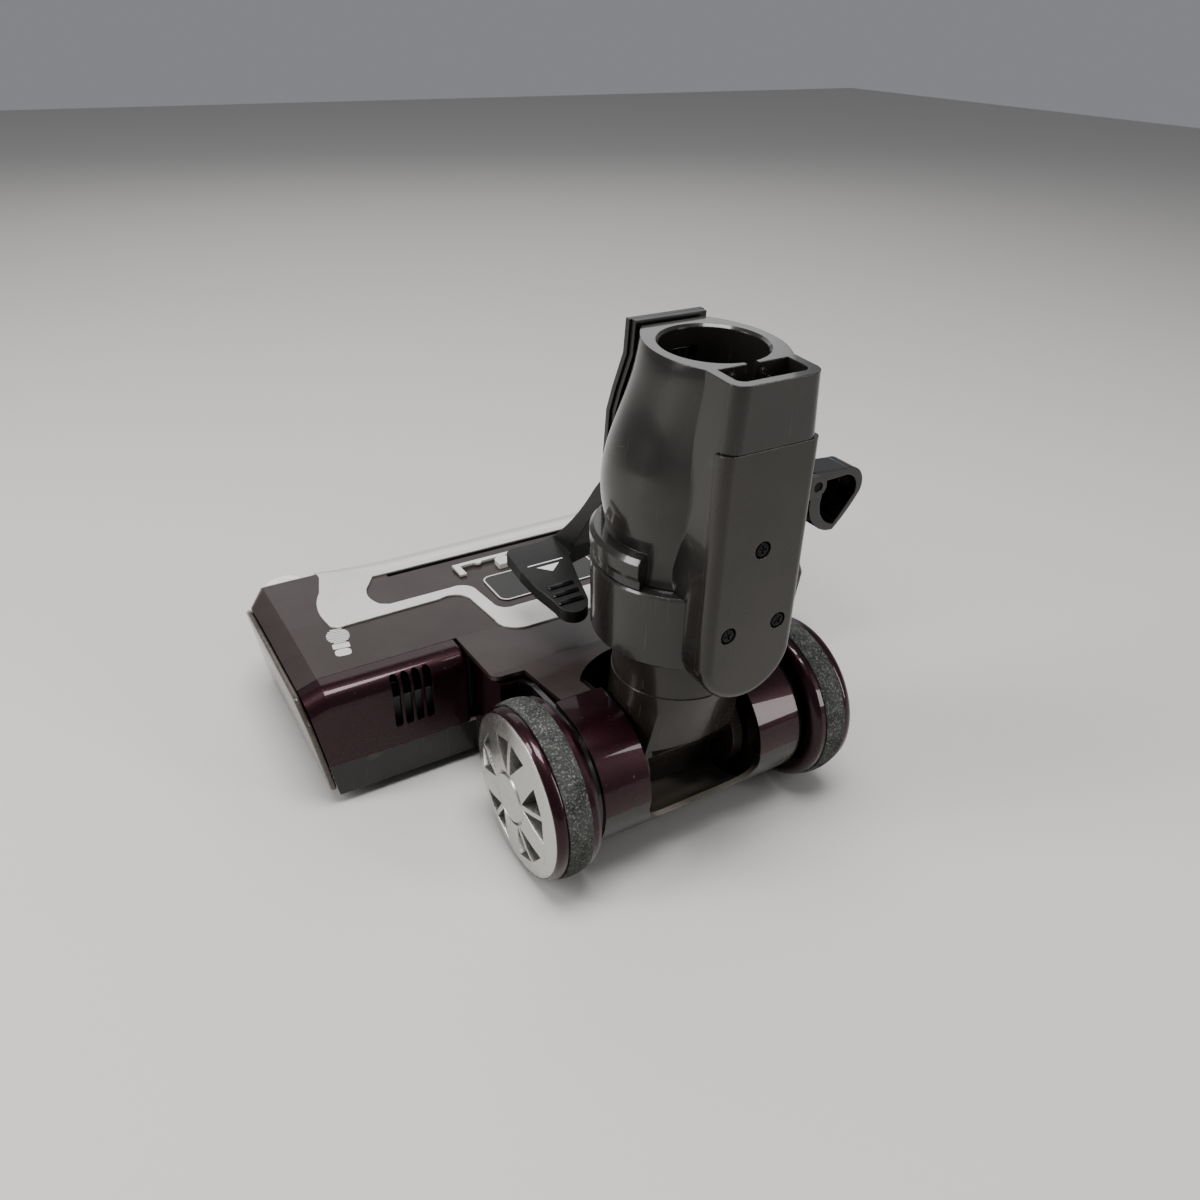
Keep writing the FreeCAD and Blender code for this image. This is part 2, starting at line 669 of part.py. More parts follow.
def make_wheel(name, way):
    bore = S.stub_radius + S.spin_gap - 0.02
    rim = wheel_body("wheel_rim_" + name)
    face = S.hub_x - S.hub_thick
    plug = S.hub_radius - S.plug_step
    turned(rim, way, (S.rim_in, bore), (S.rim_in, S.flange_radius - 7),
           (S.rim_in + 1.5, S.flange_radius - 1.5, S.rim_in + 4, S.flange_radius),
           (S.tyre_in, S.flange_radius), (S.tyre_in, S.rim_radius), (S.tyre_out, S.rim_radius),
           (S.tyre_out, S.flange_radius - 0.3),
           (S.hub_x - 2, S.flange_radius - 0.5, S.hub_x, S.hub_radius + 0.6),
           (S.hub_x, S.hub_radius + 0.2), (S.hub_x - S.hub_lip, S.hub_radius + 0.2),
           (S.hub_x - S.hub_lip, plug + 0.2), (face, plug + 0.2), (face, 20), (face - 8, 18),
           (face - 8, bore), (S.rim_in, bore))
    tyre = wheel_body("tyre_" + name)
    inner = S.rim_radius + 0.05
    turned(tyre, way, (S.tyre_in + 0.05, inner), (S.tyre_in + 0.05, S.tyre_radius - 1),
           ((S.tyre_in + S.tyre_out) / 2, S.tyre_radius, S.tyre_out - 0.05, S.tyre_radius - 1),
           (S.tyre_out - 0.05, inner), (S.tyre_in + 0.05, inner))
    make_hub_cap(name, way, face, plug)
    pin = wheel_body("stub_axle_" + name)
    head = face - 8.5
    shank = S.stub_radius - 0.02
    turned(pin, way, (S.shoulder_in + 11, 0), (S.shoulder_in + 11, shank),
           (head + 0.8, shank), (head + 0.8, S.stub_radius + 4), (head + 3.5, S.stub_radius + 3),
           (head + 3.5, 0), (S.shoulder_in + 11, 0))


def make_hub_cap(name, way, face, plug):
    # Cover disc whose lip lies in the rim and whose plug fills the rim's hollow.
    cap = wheel_body("hub_cap_" + name)
    back = face + 0.1
    rim = S.hub_radius
    step = S.hub_x - S.hub_lip + 0.1
    turned(cap, way, (back, 0), (back, plug), (step, plug), (step, rim), (S.hub_x, rim),
           (S.hub_x + 1, rim - 2, S.hub_x + 0.4, rim - 5),
           (S.hub_x - 0.2, rim - 15, S.hub_x - 0.8, 15), (S.hub_x - 1.4, 13.5, S.hub_x - 0.4, 12.5),
           (S.hub_x + 0.6, 11), (S.hub_x + 0.6, 0), (back, 0))
    spokes = 5
    pair = [window(cap, way, turn) for turn in (1, -1)]
    ring = cap.newObject("PartDesign::PolarPattern", cap.Name + "_spokes")
    ring.Originals = pair
    axis = [part for part in cap.Origin.OriginFeatures if part.Role == "X_Axis"][0]
    ring.Axis = (axis, [""])
    ring.Angle = 360.0
    ring.Occurrences = spokes
    cap.Tip = ring


def window(cap, way, turn):
    # One tapered pocket on one side of a spoke.
    inner = 18
    outer = S.hub_radius - 7.5
    middle = math.radians(90 + 20 * turn)
    narrow = math.radians(6)
    wide = math.radians(12.5)
    low, high = span(way, S.hub_x - S.pocket_depth, S.hub_x + 4)

    def spot(radius, turned_by):
        angle = middle + turned_by
        return size(radius) * math.cos(angle), size(radius) * math.sin(angle)

    start = spot(inner, -narrow)
    return cut(cap, "YZ", low, high, outline, start, spot(outer, -wide),
               spot(outer, 0) + spot(outer, wide), spot(inner, narrow), start)


def make_roller(name, way):
    low, high = span(way, S.roller_x - S.roller_width / 2, S.roller_x + S.roller_width / 2)
    roller = new_body("roller_" + name, z=S.roller_radius)
    add(roller, "YZ", low, high, circle, -S.roller_y, 0, S.roller_radius)
    cut(roller, "YZ", low - 1, high + 1, circle, -S.roller_y, 0, 2 + S.spin_gap)
    pin = new_body("roller_pin_" + name, z=S.roller_radius)
    low, high = span(way, S.roller_x - 10.9, S.roller_x + 10.9)
    add(pin, "YZ", low, high, circle, -S.roller_y, 0, 1.98)


# ---------------- brush, belt and motor ----------------
def make_brush():
    roll = new_body("brush_roll", z=S.brush_z)
    end = S.mouth_half + 6
    belt_low = S.belt_x - S.belt_width / 2 - 2
    belt_high = S.belt_x + S.belt_width / 2 + 2
    add(roll, "YZ", -end, belt_low, circle, -S.brush_y, 0, S.dowel_radius)
    add(roll, "YZ", belt_low - 1, belt_high + 1, circle, -S.brush_y, 0, S.groove_radius)
    add(roll, "YZ", belt_high, end, circle, -S.brush_y, 0, S.dowel_radius)
    add(roll, "YZ", -end - 6, end + 6, circle, -S.brush_y, 0, 4)
    doc.recompute()
    for index in range(2):
        tufts = new_body("bristle_row_%d" % (index + 1), z=S.brush_z)
        twist_row(tufts, -S.mouth_half + 2, belt_low - 2, index * math.pi)
    for name, way in SIDES:
        block = new_body("brush_bearing_" + name)
        low, high = span(way, end + 0.5, S.head_half - S.end_draft - S.wall - 0.1)
        floor = S.sole_z + S.sole_wall
        add(block, "YZ", low, high, box_outline, -S.brush_y - 10, -S.brush_y + 10, floor + 0.05,
            S.brush_z + 9)
        cut(block, "YZ", low - 1, high + 1, circle, -S.brush_y, S.brush_z, 4 + S.spin_gap)


def twist_row(body, low, high, first):
    # Bristle strip that winds half a turn along the dowel.
    steps = 8
    half = 1.6
    root = S.dowel_radius + 0.05
    sketches = []
    for step in range(steps + 1):
        share = step / steps
        angle = first + math.pi * share
        along = low + (high - low) * share
        c, s = math.cos(angle), math.sin(angle)
        sketch = attach(body, "YZ", along)
        corners = [(root, -half), (S.bristle_reach, -half), (S.bristle_reach, half), (root, half)]
        spots = [(r * c - w * s - S.brush_y, r * s + w * c) for r, w in corners]
        outline(sketch, spots[0], spots[1], spots[2], spots[3], spots[0])
        sketches.append(sketch)
    loft(body, sketches)


def make_motor():
    case = new_body("motor_case")
    add(case, "YZ", S.motor_front_x, S.motor_back_x, circle, -S.motor_y, S.motor_z, S.motor_radius)
    add(case, "YZ", S.motor_back_x - 1, S.motor_back_x + 6, circle, -S.motor_y, S.motor_z, 9)
    cut(case, "YZ", S.motor_back_x - 30, S.motor_back_x + 7, circle, -S.motor_y, S.motor_z,
        S.shaft_radius + S.spin_gap)
    round_edges(case, 2.5, lambda e: near(e.BoundBox.YLength, 2 * S.motor_radius)
                and near(e.BoundBox.XLength, 0), "Chamfer")
    shaft = new_body("motor_shaft")
    add(shaft, "YZ", S.motor_back_x - 29, S.belt_x + 8, circle, -S.motor_y, S.motor_z, S.shaft_radius)
    pulley = new_body("motor_pulley")
    low = S.belt_x - S.belt_width / 2 - 1
    high = S.belt_x + S.belt_width / 2 + 1
    add(pulley, "YZ", low, high, circle, -S.motor_y, S.motor_z, S.pulley_radius)
    add(pulley, "YZ", low - 1.5, low, circle, -S.motor_y, S.motor_z, S.pulley_radius + 3)
    add(pulley, "YZ", high, high + 1.5, circle, -S.motor_y, S.motor_z, S.pulley_radius + 3)
    cut(pulley, "YZ", low - 2, high + 2, circle, -S.motor_y, S.motor_z, S.shaft_radius + 0.02)


def square_root(number):
    return Size(math.sqrt(number.value), "sqrt(%s)" % number.text)


def belt_loop(sketch, swell):
    # Two wraps joined by their outer tangents.
    y1, z1, r1 = -S.brush_y, S.brush_z, S.groove_radius + S.gap + swell
    y2, z2, r2 = -S.motor_y, S.motor_z, S.pulley_radius + S.gap + swell
    dy, dz = y2 - y1, z2 - z1
    reach = square_root(dy * dy + dz * dz)
    uy, uz = dy / reach, dz / reach
    lean = (r1 - r2) / reach
    rise = square_root(1 - lean * lean)
    up = (uy * lean - uz * rise, uz * lean + uy * rise)
    down = (uy * lean + uz * rise, uz * lean - uy * rise)
    outline(sketch, (y1 + r1 * up[0], z1 + r1 * up[1]),
            (y1 - r1 * uy, z1 - r1 * uz, y1 + r1 * down[0], z1 + r1 * down[1]),
            (y2 + r2 * down[0], z2 + r2 * down[1]),
            (y2 + r2 * uy, z2 + r2 * uz, y2 + r2 * up[0], z2 + r2 * up[1]),
            (y1 + r1 * up[0], z1 + r1 * up[1]))


def make_belt():
    belt = new_body("drive_belt")
    low = S.belt_x - S.belt_width / 2
    high = S.belt_x + S.belt_width / 2
    add(belt, "YZ", low, high, belt_loop, S.belt_thick)
    cut(belt, "YZ", low - 1, high + 1, belt_loop, 0)


# ---------------- neck ----------------
def make_elbow():
    body = new_body("elbow")
    foot = attach(body, "XY", S.axle_z + 5)
    wide = S.elbow_radius - 3
    outline(foot, (-wide, -20), (0, -25, wide, -20), (wide + 1.6, 0, wide, 19), (0, 22, -wide, 19),
            (-wide - 1.6, 0, -wide, -20))
    neck_z = 100
    head = attach(body, "XY", neck_z)
    radius = S.elbow_radius + 0.5
    side = radius * 0.7071
    outline(head, (-side, S.neck_y - side), (0, S.neck_y - radius, side, S.neck_y - side),
            (radius, S.neck_y, side, S.neck_y + side), (0, S.neck_y + radius, -side, S.neck_y + side),
            (-radius, S.neck_y, -side, S.neck_y - side))
    loft(body, [foot, head])
    radius = S.elbow_radius
    add(body, "XY", neck_z - 1, S.spigot_top, circle, 0, S.neck_y, radius)
    half = S.shoulder_in - 1.5
    add(body, "YZ", -half, half, circle, 0, S.axle_z, S.pivot_radius)
    cheek = half - 6.5
    cut(body, "XY", S.axle_z - S.pivot_radius - 1, S.elbow_mouth_z, box_outline, -cheek, cheek, 5,
        S.pivot_radius + 5)
    pin = S.shoulder_in + 9
    add(body, "YZ", -pin, pin, circle, 0, S.axle_z, S.trunnion_radius)
    cut(body, "XY", S.axle_z, S.spigot_top + 1, circle, 0, S.neck_y, S.duct_radius)
    cut(body, "XZ", -40, 0, circle, 0, S.axle_z, S.duct_radius - 4)
    groove = attach(body, "YZ")
    outline(groove, (S.neck_y + radius - 2.5, 150), (S.neck_y + radius + 2, 150),
            (S.neck_y + radius + 2, 154), (S.neck_y + radius - 2.5, 154), (S.neck_y + radius - 2.5, 150))
    turn_cut(body, groove)


def turn_cut(body, sketch):
    # Groove round the neck's own axis: a line through neck_y along the sketch's vertical.
    mark = sketch.addGeometry(Part.LineSegment(Vector(S.neck_y.value, 0, 0),
                                               Vector(S.neck_y.value, 20, 0)), True)
    fix_point(sketch, mark, 1, S.neck_y, 0)
    fix_point(sketch, mark, 2, S.neck_y, 20)
    return feature(body, "Groove", sketch, ReferenceAxis=(sketch, ["Axis0"]), Angle=360.0)


def neck_turned(name, start, *steps):
    # A piece turned round the neck's axis; the profile is in (radius, z).
    body = new_body(name)
    sketch = attach(body, "YZ")
    moved = []
    for step in steps:
        if len(step) == 4:
            moved.append((S.neck_y + step[0], step[1], S.neck_y + step[2], step[3]))
        else:
            moved.append((S.neck_y + step[0], step[1]))
    outline(sketch, (S.neck_y + start[0], start[1]), *moved)
    mark = sketch.addGeometry(Part.LineSegment(Vector(S.neck_y.value, 0, 0),
                                               Vector(S.neck_y.value, 20, 0)), True)
    fix_point(sketch, mark, 1, S.neck_y, 0)
    fix_point(sketch, mark, 2, S.neck_y, 20)
    feature(body, "Revolution", sketch, ReferenceAxis=(sketch, ["Axis0"]), Angle=360.0)
    return body


def make_collar():
    bore = S.elbow_radius + S.spin_gap
    outer = S.skirt_radius
    shelf = S.neck_seam_z
    ring_low, ring_high = 150.2, 153.8
    neck_turned("neck_collar", (bore, S.skirt_z), (outer - 1.5, S.skirt_z), (outer, S.skirt_z + 1.5),
                (outer + 1, shelf - 1), (outer, shelf), (bore, shelf), (bore, ring_high),
                (bore + 1.8, ring_high), (bore + 1.8, ring_low), (bore, ring_low), (bore, S.skirt_z))
    neck_turned("swivel_ring", (S.elbow_radius - 2.1, 150.4), (bore + 1.7, 150.4),
                (bore + 1.7, 153.6), (S.elbow_radius - 2.1, 153.6), (S.elbow_radius - 2.1, 150.4))


def add_rib(body, foot):
    # Raised band round the front and flanks of the neck, over a plain foot.
    sketch = attach(body, "YZ")
    root = S.bore_radius + 8
    steps = [(root, foot), (S.rib_radius - 1.8, foot), (S.rib_radius - 1.8, S.rib_foot - 0.8),
             (S.rib_radius - 0.6, S.rib_foot), (S.rib_radius, S.rib_foot + 2),
             (S.rib_radius, S.rib_top - 2.5), (S.rib_radius - 2, S.rib_top), (root, S.rib_top),
             (root, foot)]
    moved = [(S.neck_y - radius, z) for radius, z in steps]
    outline(sketch, *moved)
    mark = sketch.addGeometry(Part.LineSegment(Vector(S.neck_y.value, 0, 0),
                                               Vector(S.neck_y.value, 20, 0)), True)
    fix_point(sketch, mark, 1, S.neck_y, 0)
    fix_point(sketch, mark, 2, S.neck_y, 20)
    feature(body, "Revolution", sketch, ReferenceAxis=(sketch, ["Axis0"]), Midplane=True,
            Angle=S.rib_half_angle * 2)


def neck_section(body, z, front, flat, wide, side_y, join, half):
    # Plan of the neck: flat front, round flanks, and the square housing at the back.
    sketch = attach(body, "XY", z)
    rear = S.housing_y
    corner = 7
    bow = corner * 0.293
    outline(sketch, (-flat, -front), (flat, -front), (wide, side_y, half, join),
            (half, rear - corner), (half - bow, rear - bow, half - corner, rear),
            (-half + corner, rear), (-half + bow, rear - bow, -half, rear - corner),
            (-half, join), (-wide, side_y, -flat, -front))
    return sketch


def make_neck_body():
    body = new_body("neck_body")
    shelf = S.neck_seam_z + S.gap
    top = S.neck_top
    rib = S.rib_top
    back = S.housing_half
    wide = S.bore_radius + 14.9
    join = S.neck_y + 28.5
    high_join = S.bore_y + S.bore_radius + 0.5
    sections = [neck_section(body, shelf, 31, 18, wide, S.neck_y, join, back),
                neck_section(body, rib + 2, 31.5, 18, wide + 0.3, S.neck_y, join, back),
                neck_section(body, rib + 20, 34.5, 17, wide + 3.5, 6, high_join, back),
                neck_section(body, rib + 46, 31.5, 16.5, wide, 6, high_join, back - 0.6),
                neck_section(body, rib + 68, S.lip + 12, 16.5, wide - 5.5, 7, high_join, back - 1.8),
                neck_section(body, top, S.lip + 6.5, 17, wide - 9.5, 8, high_join, back - 3)]
    loft(body, sections)
    foot = S.cover_foot
    half = S.housing_half
    add(body, "XZ", 30, S.housing_y - S.cover_thick - S.gap, cover_outline, half, foot, shelf + 1)
    inner = S.skirt_radius + 1.6
    cut(body, "XY", foot - 5, shelf, circle, 0, S.neck_y, inner)
    add_rib(body, shelf)
    cut(body, "XZ", S.housing_y - S.cover_thick, S.housing_y + 5, box_outline, -half - 5, half + 5,
        foot - 5, S.cover_top + S.gap)
    cut(body, "YZ", -60, 60, outline, (-60, top + 1), (S.housing_y + 10, top + 1),
        (S.housing_y + 10, top - 4), (-22, top), (-60, top + 1))
    cut(body, "XY", top - S.bore_depth, top + 1, circle, 0, S.bore_y, S.bore_radius)
    cut(body, "XY", shelf - 1, top - S.bore_depth + 1, circle, 0, S.neck_y + 4, S.duct_radius)
    floor = top - S.socket_depth
    cut(body, "XY", floor, top + 1, box_outline, -S.socket_half, S.socket_half, S.socket_front,
        S.socket_rear)
    round_edges(body, S.socket_corner, lambda e: near(e.BoundBox.YMin, S.socket_rear) and
                near(abs(e.BoundBox.XMin), S.socket_half) and e.BoundBox.ZLength > 15)
    cut(body, "XY", floor, top + 1, box_outline, -3, 3, S.bore_y + S.bore_radius - 2, S.socket_front + 1)
    round_edges(body, S.rim_chamfer, on_rim, "Chamfer")
    cut(body, "XZ", -40, 0, box_outline, -S.latch_half, S.latch_half, S.latch_foot, S.latch_top)
    for z, x in cover_screw_spots():
        cut(body, "XZ", 44, S.housing_y, circle, x, z, 1.8)
    for low, high in ((19, 23), (S.lever_y + S.lever_depth + 1, S.lever_y + S.lever_depth + 5)):
        ear(body, low, high)


def on_rim(edge):
    # The mouth of the wand's bore: an arc as wide as the bore, near the neck's top.
    box = edge.BoundBox
    return (near(box.XMax, S.bore_radius) and near(box.XMin, -S.bore_radius)
            and near(box.YMin, S.bore_y - S.bore_radius) and box.ZMax > S.neck_top.value - 8)


def ear(body, low, high):
    # Lug on the right flank for the lever's pin.
    x, z = lever_pin_spot()
    root = -S.bore_radius - 0.6
    add(body, "XZ", low, high, outline, (root, z - 8), (x, z - 5), (x - 5, z, x, z + 5),
        (root, z + 8), (root, z - 8))
    cut(body, "XZ", low - 1, high + 1, circle, x, z, S.pin_r)


def lever_pin_spot():
    return -S.lever_root, S.lever_z + 7


def cover_outline(sketch, half, foot, top):
    # Tall plate with a round lower end.
    half = size(half)
    shoulder = size(foot) + half * 0.85
    outline(sketch, (half, shoulder), (half, top), (-half, top), (-half, shoulder),
            (0, foot, half, shoulder))


def cover_screw_spots():
    return [(S.cover_top - 47, size(0)), (S.cover_foot + 40, size(14)), (S.cover_foot + 40, size(-14))]


def make_rear_cover():
    body = new_body("rear_cover")
    front = S.housing_y - S.cover_thick
    half = S.housing_half
    add(body, "XZ", front, S.housing_y, cover_outline, half, S.cover_foot, S.cover_top)
    round_edges(body, 5, lambda e: near(e.BoundBox.YMin, S.housing_y) and
                near(e.BoundBox.YMax, S.housing_y) and not near(e.BoundBox.ZMin, S.cover_top))
    for z, x in cover_screw_spots():
        cut(body, "XZ", front - 1, S.housing_y + 1, circle, x, z, 1.8)
        cut(body, "XZ", S.housing_y - 4, S.housing_y + 1, circle, x, z, 4.2)


def make_group(name, shapes):
    # Identical small pieces share one node, as separate solids.
    group = doc.addObject("Part::Compound", name)
    group.Label = name
    group.Links = shapes
    return group


def make_screw(name, x, y, z, axis, length, head_radius, head_length, radius):
    # Pan-head screw: its head stands at the given point and its shank runs along axis.
    head = doc.addObject("Part::Cylinder", name + "_head")
    shank = doc.addObject("Part::Cylinder", name + "_shank")
    for part, wide, long in ((head, head_radius, head_length), (shank, radius, length)):
        part.setExpression("Radius", size(wide).text)
        part.setExpression("Height", size(long).text)
    turn = FreeCAD.Rotation(Vector(0, 0, 1), axis)
    start = size(head_length) - 0.5
    for part, shift in ((head, size(0)), (shank, start)):
        part.Placement.Rotation = turn
        spot = (size(x) + shift * axis.x, size(y) + S.axle_y + shift * axis.y, size(z) + shift * axis.z)
        for way, number in zip("xyz", spot):
            part.setExpression("Placement.Base." + way, number.text)
    screw = doc.addObject("Part::Fuse", name)
    screw.Base = head
    screw.Tool = shank
    return screw


def make_screws():
    screws = []
    for index, (x, y) in enumerate(screw_spots()):
        screws.append(make_screw("sole_screw%d" % index, x, y, S.sole_z + 0.6, Vector(0, 0, 1), 14, 3.4,
                                 2.5, 1.7))
    pieces.append(make_group("sole_screws", screws))
    screws = []
    for index, (z, x) in enumerate(cover_screw_spots()):
        screws.append(make_screw("cover_screw%d" % index, x, S.housing_y - 1.2, z, Vector(0, -1, 0),
                                 8.5, 3.6, 2.6, 1.7))
    pieces.append(make_group("cover_screws", screws))


def make_socket():
    block = new_body("connector_block")
    floor = S.neck_top - S.socket_depth
    half = S.socket_half - 0.2
    add(block, "XY", floor, floor + 5, box_outline, -half, half, S.socket_front + 0.2,
        S.socket_rear - 0.2)
    round_edges(block, S.socket_corner, lambda e: near(e.BoundBox.YMin, S.socket_rear - 0.2) and
                near(e.BoundBox.ZLength, 5))
    middle = (S.socket_front + S.socket_rear) / 2
    pins = []
    for index, x in enumerate((-12, -4, 4, 12)):
        cut(block, "XY", floor + 1, floor + 6, circle, x, middle, S.pin_radius + 0.02)
        pin = doc.addObject("Part::Cylinder", "contact_pin%d" % index)
        pin.setExpression("Radius", S.pin_radius.text)
        pin.setExpression("Height", "16")
        for way, number in zip("xyz", (size(x), middle + S.axle_y, floor + 1)):
            pin.setExpression("Placement.Base." + way, number.text)
        pins.append(pin)
    pieces.append(make_group("contact_pins", pins))


def shell_line(inset):
    # Front line of the neck's front strip, from top to foot, in (y, z).
    top = S.neck_top
    rib = S.rib_top
    return [(-S.lip - 14.5 + inset, top + S.block_rise), (-S.lip - 16 + inset, top - 14),
            (-S.lip - 24.5 + inset, top - 33), (-S.neck_y - 38.5 + inset, top - 45),
            (-S.neck_y - 40.5 + inset, rib + 23), (-S.neck_y - 40.5 + inset, rib + 2)]


def strip(sketch, outer, inner):
    front = shell_line(outer)
    back = shell_line(inner)
    outline(sketch, front[0], *(front[1:] + list(reversed(back)) + [front[0]]))


def make_front_shell():
    shell = new_body("front_shell")
    add(shell, "YZ", -19, 19, strip, 3.2, 6.4)
    way_out = S.latch_half + S.gap
    cut(shell, "XZ", -40, 0, box_outline, -way_out, way_out, S.latch_foot - 1, S.latch_top + 1)
    face = new_body("front_cover")
    add(face, "YZ", -20, 20, strip, 0, 3)
    pin_y, pin_z = -S.pedal_pin_y, S.pedal_pin_z
    for low in (S.pedal_half + 0.4, -S.pedal_half - 4.4):
        add(face, "YZ", low, low + 4, outline, (-S.neck_y - 38, pin_z - 6), (-S.neck_y - 38, pin_z + 9),
            (pin_y, pin_z + 5), (pin_y - 5, pin_z, pin_y, pin_z - 5), (-S.neck_y - 38, pin_z - 6))
        cut(face, "YZ", low - 1, low + 5, circle, pin_y, pin_z, S.pin_r)


def pad_surround(sketch, half):
    # Everything round the foot pad in plan, as one loop that leaves the arm alone.
    outline(sketch, (half, -130), (half, -118), (15, -114.5), (34, -114.5),
            (39.5, -113, 41.5, -107), (42.5, -91), (41, -75), (36.5, -61), (27, -51.5, 17.5, -59),
            (14.5, -76), (9.5, -94.5), (-half, -99), (-half - 5, -99), (-half - 5, -30), (60, -30),
            (60, -130), (half, -130))


def make_pedal():
    body = new_body("wand_pedal")
    pin_y, pin_z = -S.pedal_pin_y, S.pedal_pin_z
    half = S.pedal_half
    thick = S.pedal_thick
    add(body, "YZ", -half, half, outline, (pin_y + 4.6, pin_z), (pin_y, pin_z + 4.6, pin_y - 4.6, pin_z),
        (-70.5, 169.5), (-94, 141, -119, 118), (-120.5, 114.5, -117, 112), (-99, 112),
        (-83, 138, -64, 163), (pin_y + 4.6, pin_z))
    add(body, "YZ", -half, 44, outline, (-118, 119.5), (-86, 117.8, -50, 108.5),
        (-50, 108.5 - thick), (-86, 117.8 - thick, -118, 119.5 - thick), (-118, 119.5))
    cut(body, "XY", 90, 126, pad_surround, half)
    cut(body, "YZ", -half - 1, half + 1, circle, pin_y, pin_z, S.pin_r + S.spin_gap)
    pin = new_body("pedal_pin")
    add(pin, "YZ", -half - 4.3, half + 4.3, circle, pin_y, pin_z, S.pin_r - 0.02)


def make_lever():
    body = new_body("handle_lever")
    low = S.lever_y
    high = S.lever_y + S.lever_depth
    root = -S.lever_root
    tip = -S.lever_reach
    z = S.lever_z
    x, pin_z = lever_pin_spot()
    add(body, "XZ", low, high, outline, (x + 4, pin_z - 1), (x, pin_z + 5), (root - 22, z + 10),
        (tip + 1, z + 6, tip, z - 4), (tip + 9, z - 16, root - 18, z - 21),
        (root - 7, z - 17, x - 2, pin_z - 6), (x + 4, pin_z - 1))
    cut(body, "XZ", low + 3, high + 1, outline, (root - 8, z + 6), (root - 21, z + 6.5),
        (tip + 4, z + 3, tip + 3, z - 4), (tip + 10, z - 13, root - 18, z - 18),
        (root - 11, z - 14, root - 8, z - 2), (root - 8, z + 6))
    cut(body, "XZ", low - 1, high + 1, circle, x, pin_z, S.pin_r + S.spin_gap)
    pin = new_body("lever_pin")
    add(pin, "XZ", 19.5, high + 4.5, circle, x, pin_z, S.pin_r - 0.02)


def make_latch():
    body = new_body("wand_latch")
    half = S.latch_half - S.gap
    low = S.latch_foot + S.gap
    high = S.latch_top - S.gap
    back = S.bore_y - S.bore_radius - S.gap
    add(body, "XZ", back - 5.5, back, box_outline, -half, half, low, high)
    for index in range(4):
        x = -half + 1.6 + index * 4
        cut(body, "XZ", back - 1.2, back + 1, box_outline, x, x + 1.8, low + 3, high - 1)


# ---------------- front fittings ----------------
def make_lens(name, way):
    # Lamp lens over the nose of the horn: a bowed front, cut to the cover behind it.
    lens = new_body("headlight_lens_" + name)
    middle = (S.lens_inner + S.lens_outer) / 2
    sides = S.horn_y + 4
    add(lens, "XY", S.nose_z + 10, S.lens_top, outline, (way * S.lens_inner, -S.horn_y + 4),
        (way * S.lens_inner, -sides), (way * middle, -S.lens_front, way * S.lens_outer, -sides),
        (way * S.lens_outer, -S.horn_y + 4), (way * S.lens_inner, -S.horn_y + 4))
    low, high = span(way, S.lens_inner - 1, S.lens_outer + 1)
    cut(lens, "YZ", low, high, cover_side, size(-S.gap), size(0), S.horn_y, S.wing_front, size(1))
    round_edges(lens, 3, lambda e: near(e.BoundBox.ZMin, S.lens_top) and near(e.BoundBox.ZMax, S.lens_top)
                and e.BoundBox.YMin < -S.lens_front.value + 1)


def rounded_outline(sketch, x_low, x_high, y_low, y_high, corner):
    corner = size(corner)
    x_low, x_high, y_low, y_high = (size(n) for n in (x_low, x_high, y_low, y_high))
    bow = corner * 0.293
    outline(sketch, (x_low + corner, y_low), (x_high - corner, y_low),
            (x_high - bow, y_low + bow, x_high, y_low + corner), (x_high, y_high - corner),
            (x_high - bow, y_high - bow, x_high - corner, y_high), (x_low + corner, y_high),
            (x_low + bow, y_high - bow, x_low, y_high - corner), (x_low, y_low + corner),
            (x_low + bow, y_low + bow, x_low + corner, y_low))


def make_fittings():
    for name, way in SIDES:
        make_lens(name, way)
    top = S.cover_z
    frame = new_body("height_frame")
    add(frame, "XY", top, top + 1.6, outline, (-24, -182), (47, -182), (47, -168), (42.5, -168),
        (42.5, -178.8), (33, -178.8), (31, -176.8), (29, -176.8), (27, -178.8), (-24, -178.8),
        (-24, -182))
    knob = new_body("height_slider")
    start = 10
    floor = top - 1
    add(knob, "XY", floor + 0.05, top + 2.4, outline, (start, -167), (start, -174),
        (start + 5, -178, start + 10, -174), (start + 10, -167), (start, -167))
    plate = new_body("label_plate")
    add(plate, "XY", top, top + 0.6, rounded_outline, -37, 37, -160, -128, 6)


make_top_cover()
make_silver_trim()
for side_name, side_way in SIDES:
    make_wing(side_name, side_way)
    make_end_cap(side_name, side_way)
    make_shoulder(side_name, side_way)
    make_bush(side_name, side_way)
    make_wheel_arch(side_name, side_way)
    make_wheel(side_name, side_way)
    make_roller(side_name, side_way)
make_base()
make_brush()
make_motor()
make_belt()
make_elbow()
make_collar()
make_neck_body()
make_rear_cover()
make_screws()
make_socket()
make_front_shell()
make_pedal()
make_lever()
make_latch()
make_fittings()
doc.recompute()

faults = []
for item in doc.Objects:
    if "Invalid" in item.State or "Error" in item.State:
        faults.append("%s is %s" % (item.Name, item.State))
for piece in pieces:
    if piece.Shape.isNull() or not piece.Shape.isValid() or not piece.Shape.Solids:
        faults.append("%s has no sound solid" % piece.Label)
if faults:
    raise RuntimeError("; ".join(faults))
os.makedirs("parts", exist_ok=True)
for piece in pieces:
    piece.Shape.exportStep("parts/%s.step" % piece.Label)
    print("%-22s %8.1f cm3  solids %d" % (piece.Label, piece.Shape.Volume / 1000,
                                          len(piece.Shape.Solids)))
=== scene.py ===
import bpy
import math
from mathutils import Matrix, Vector


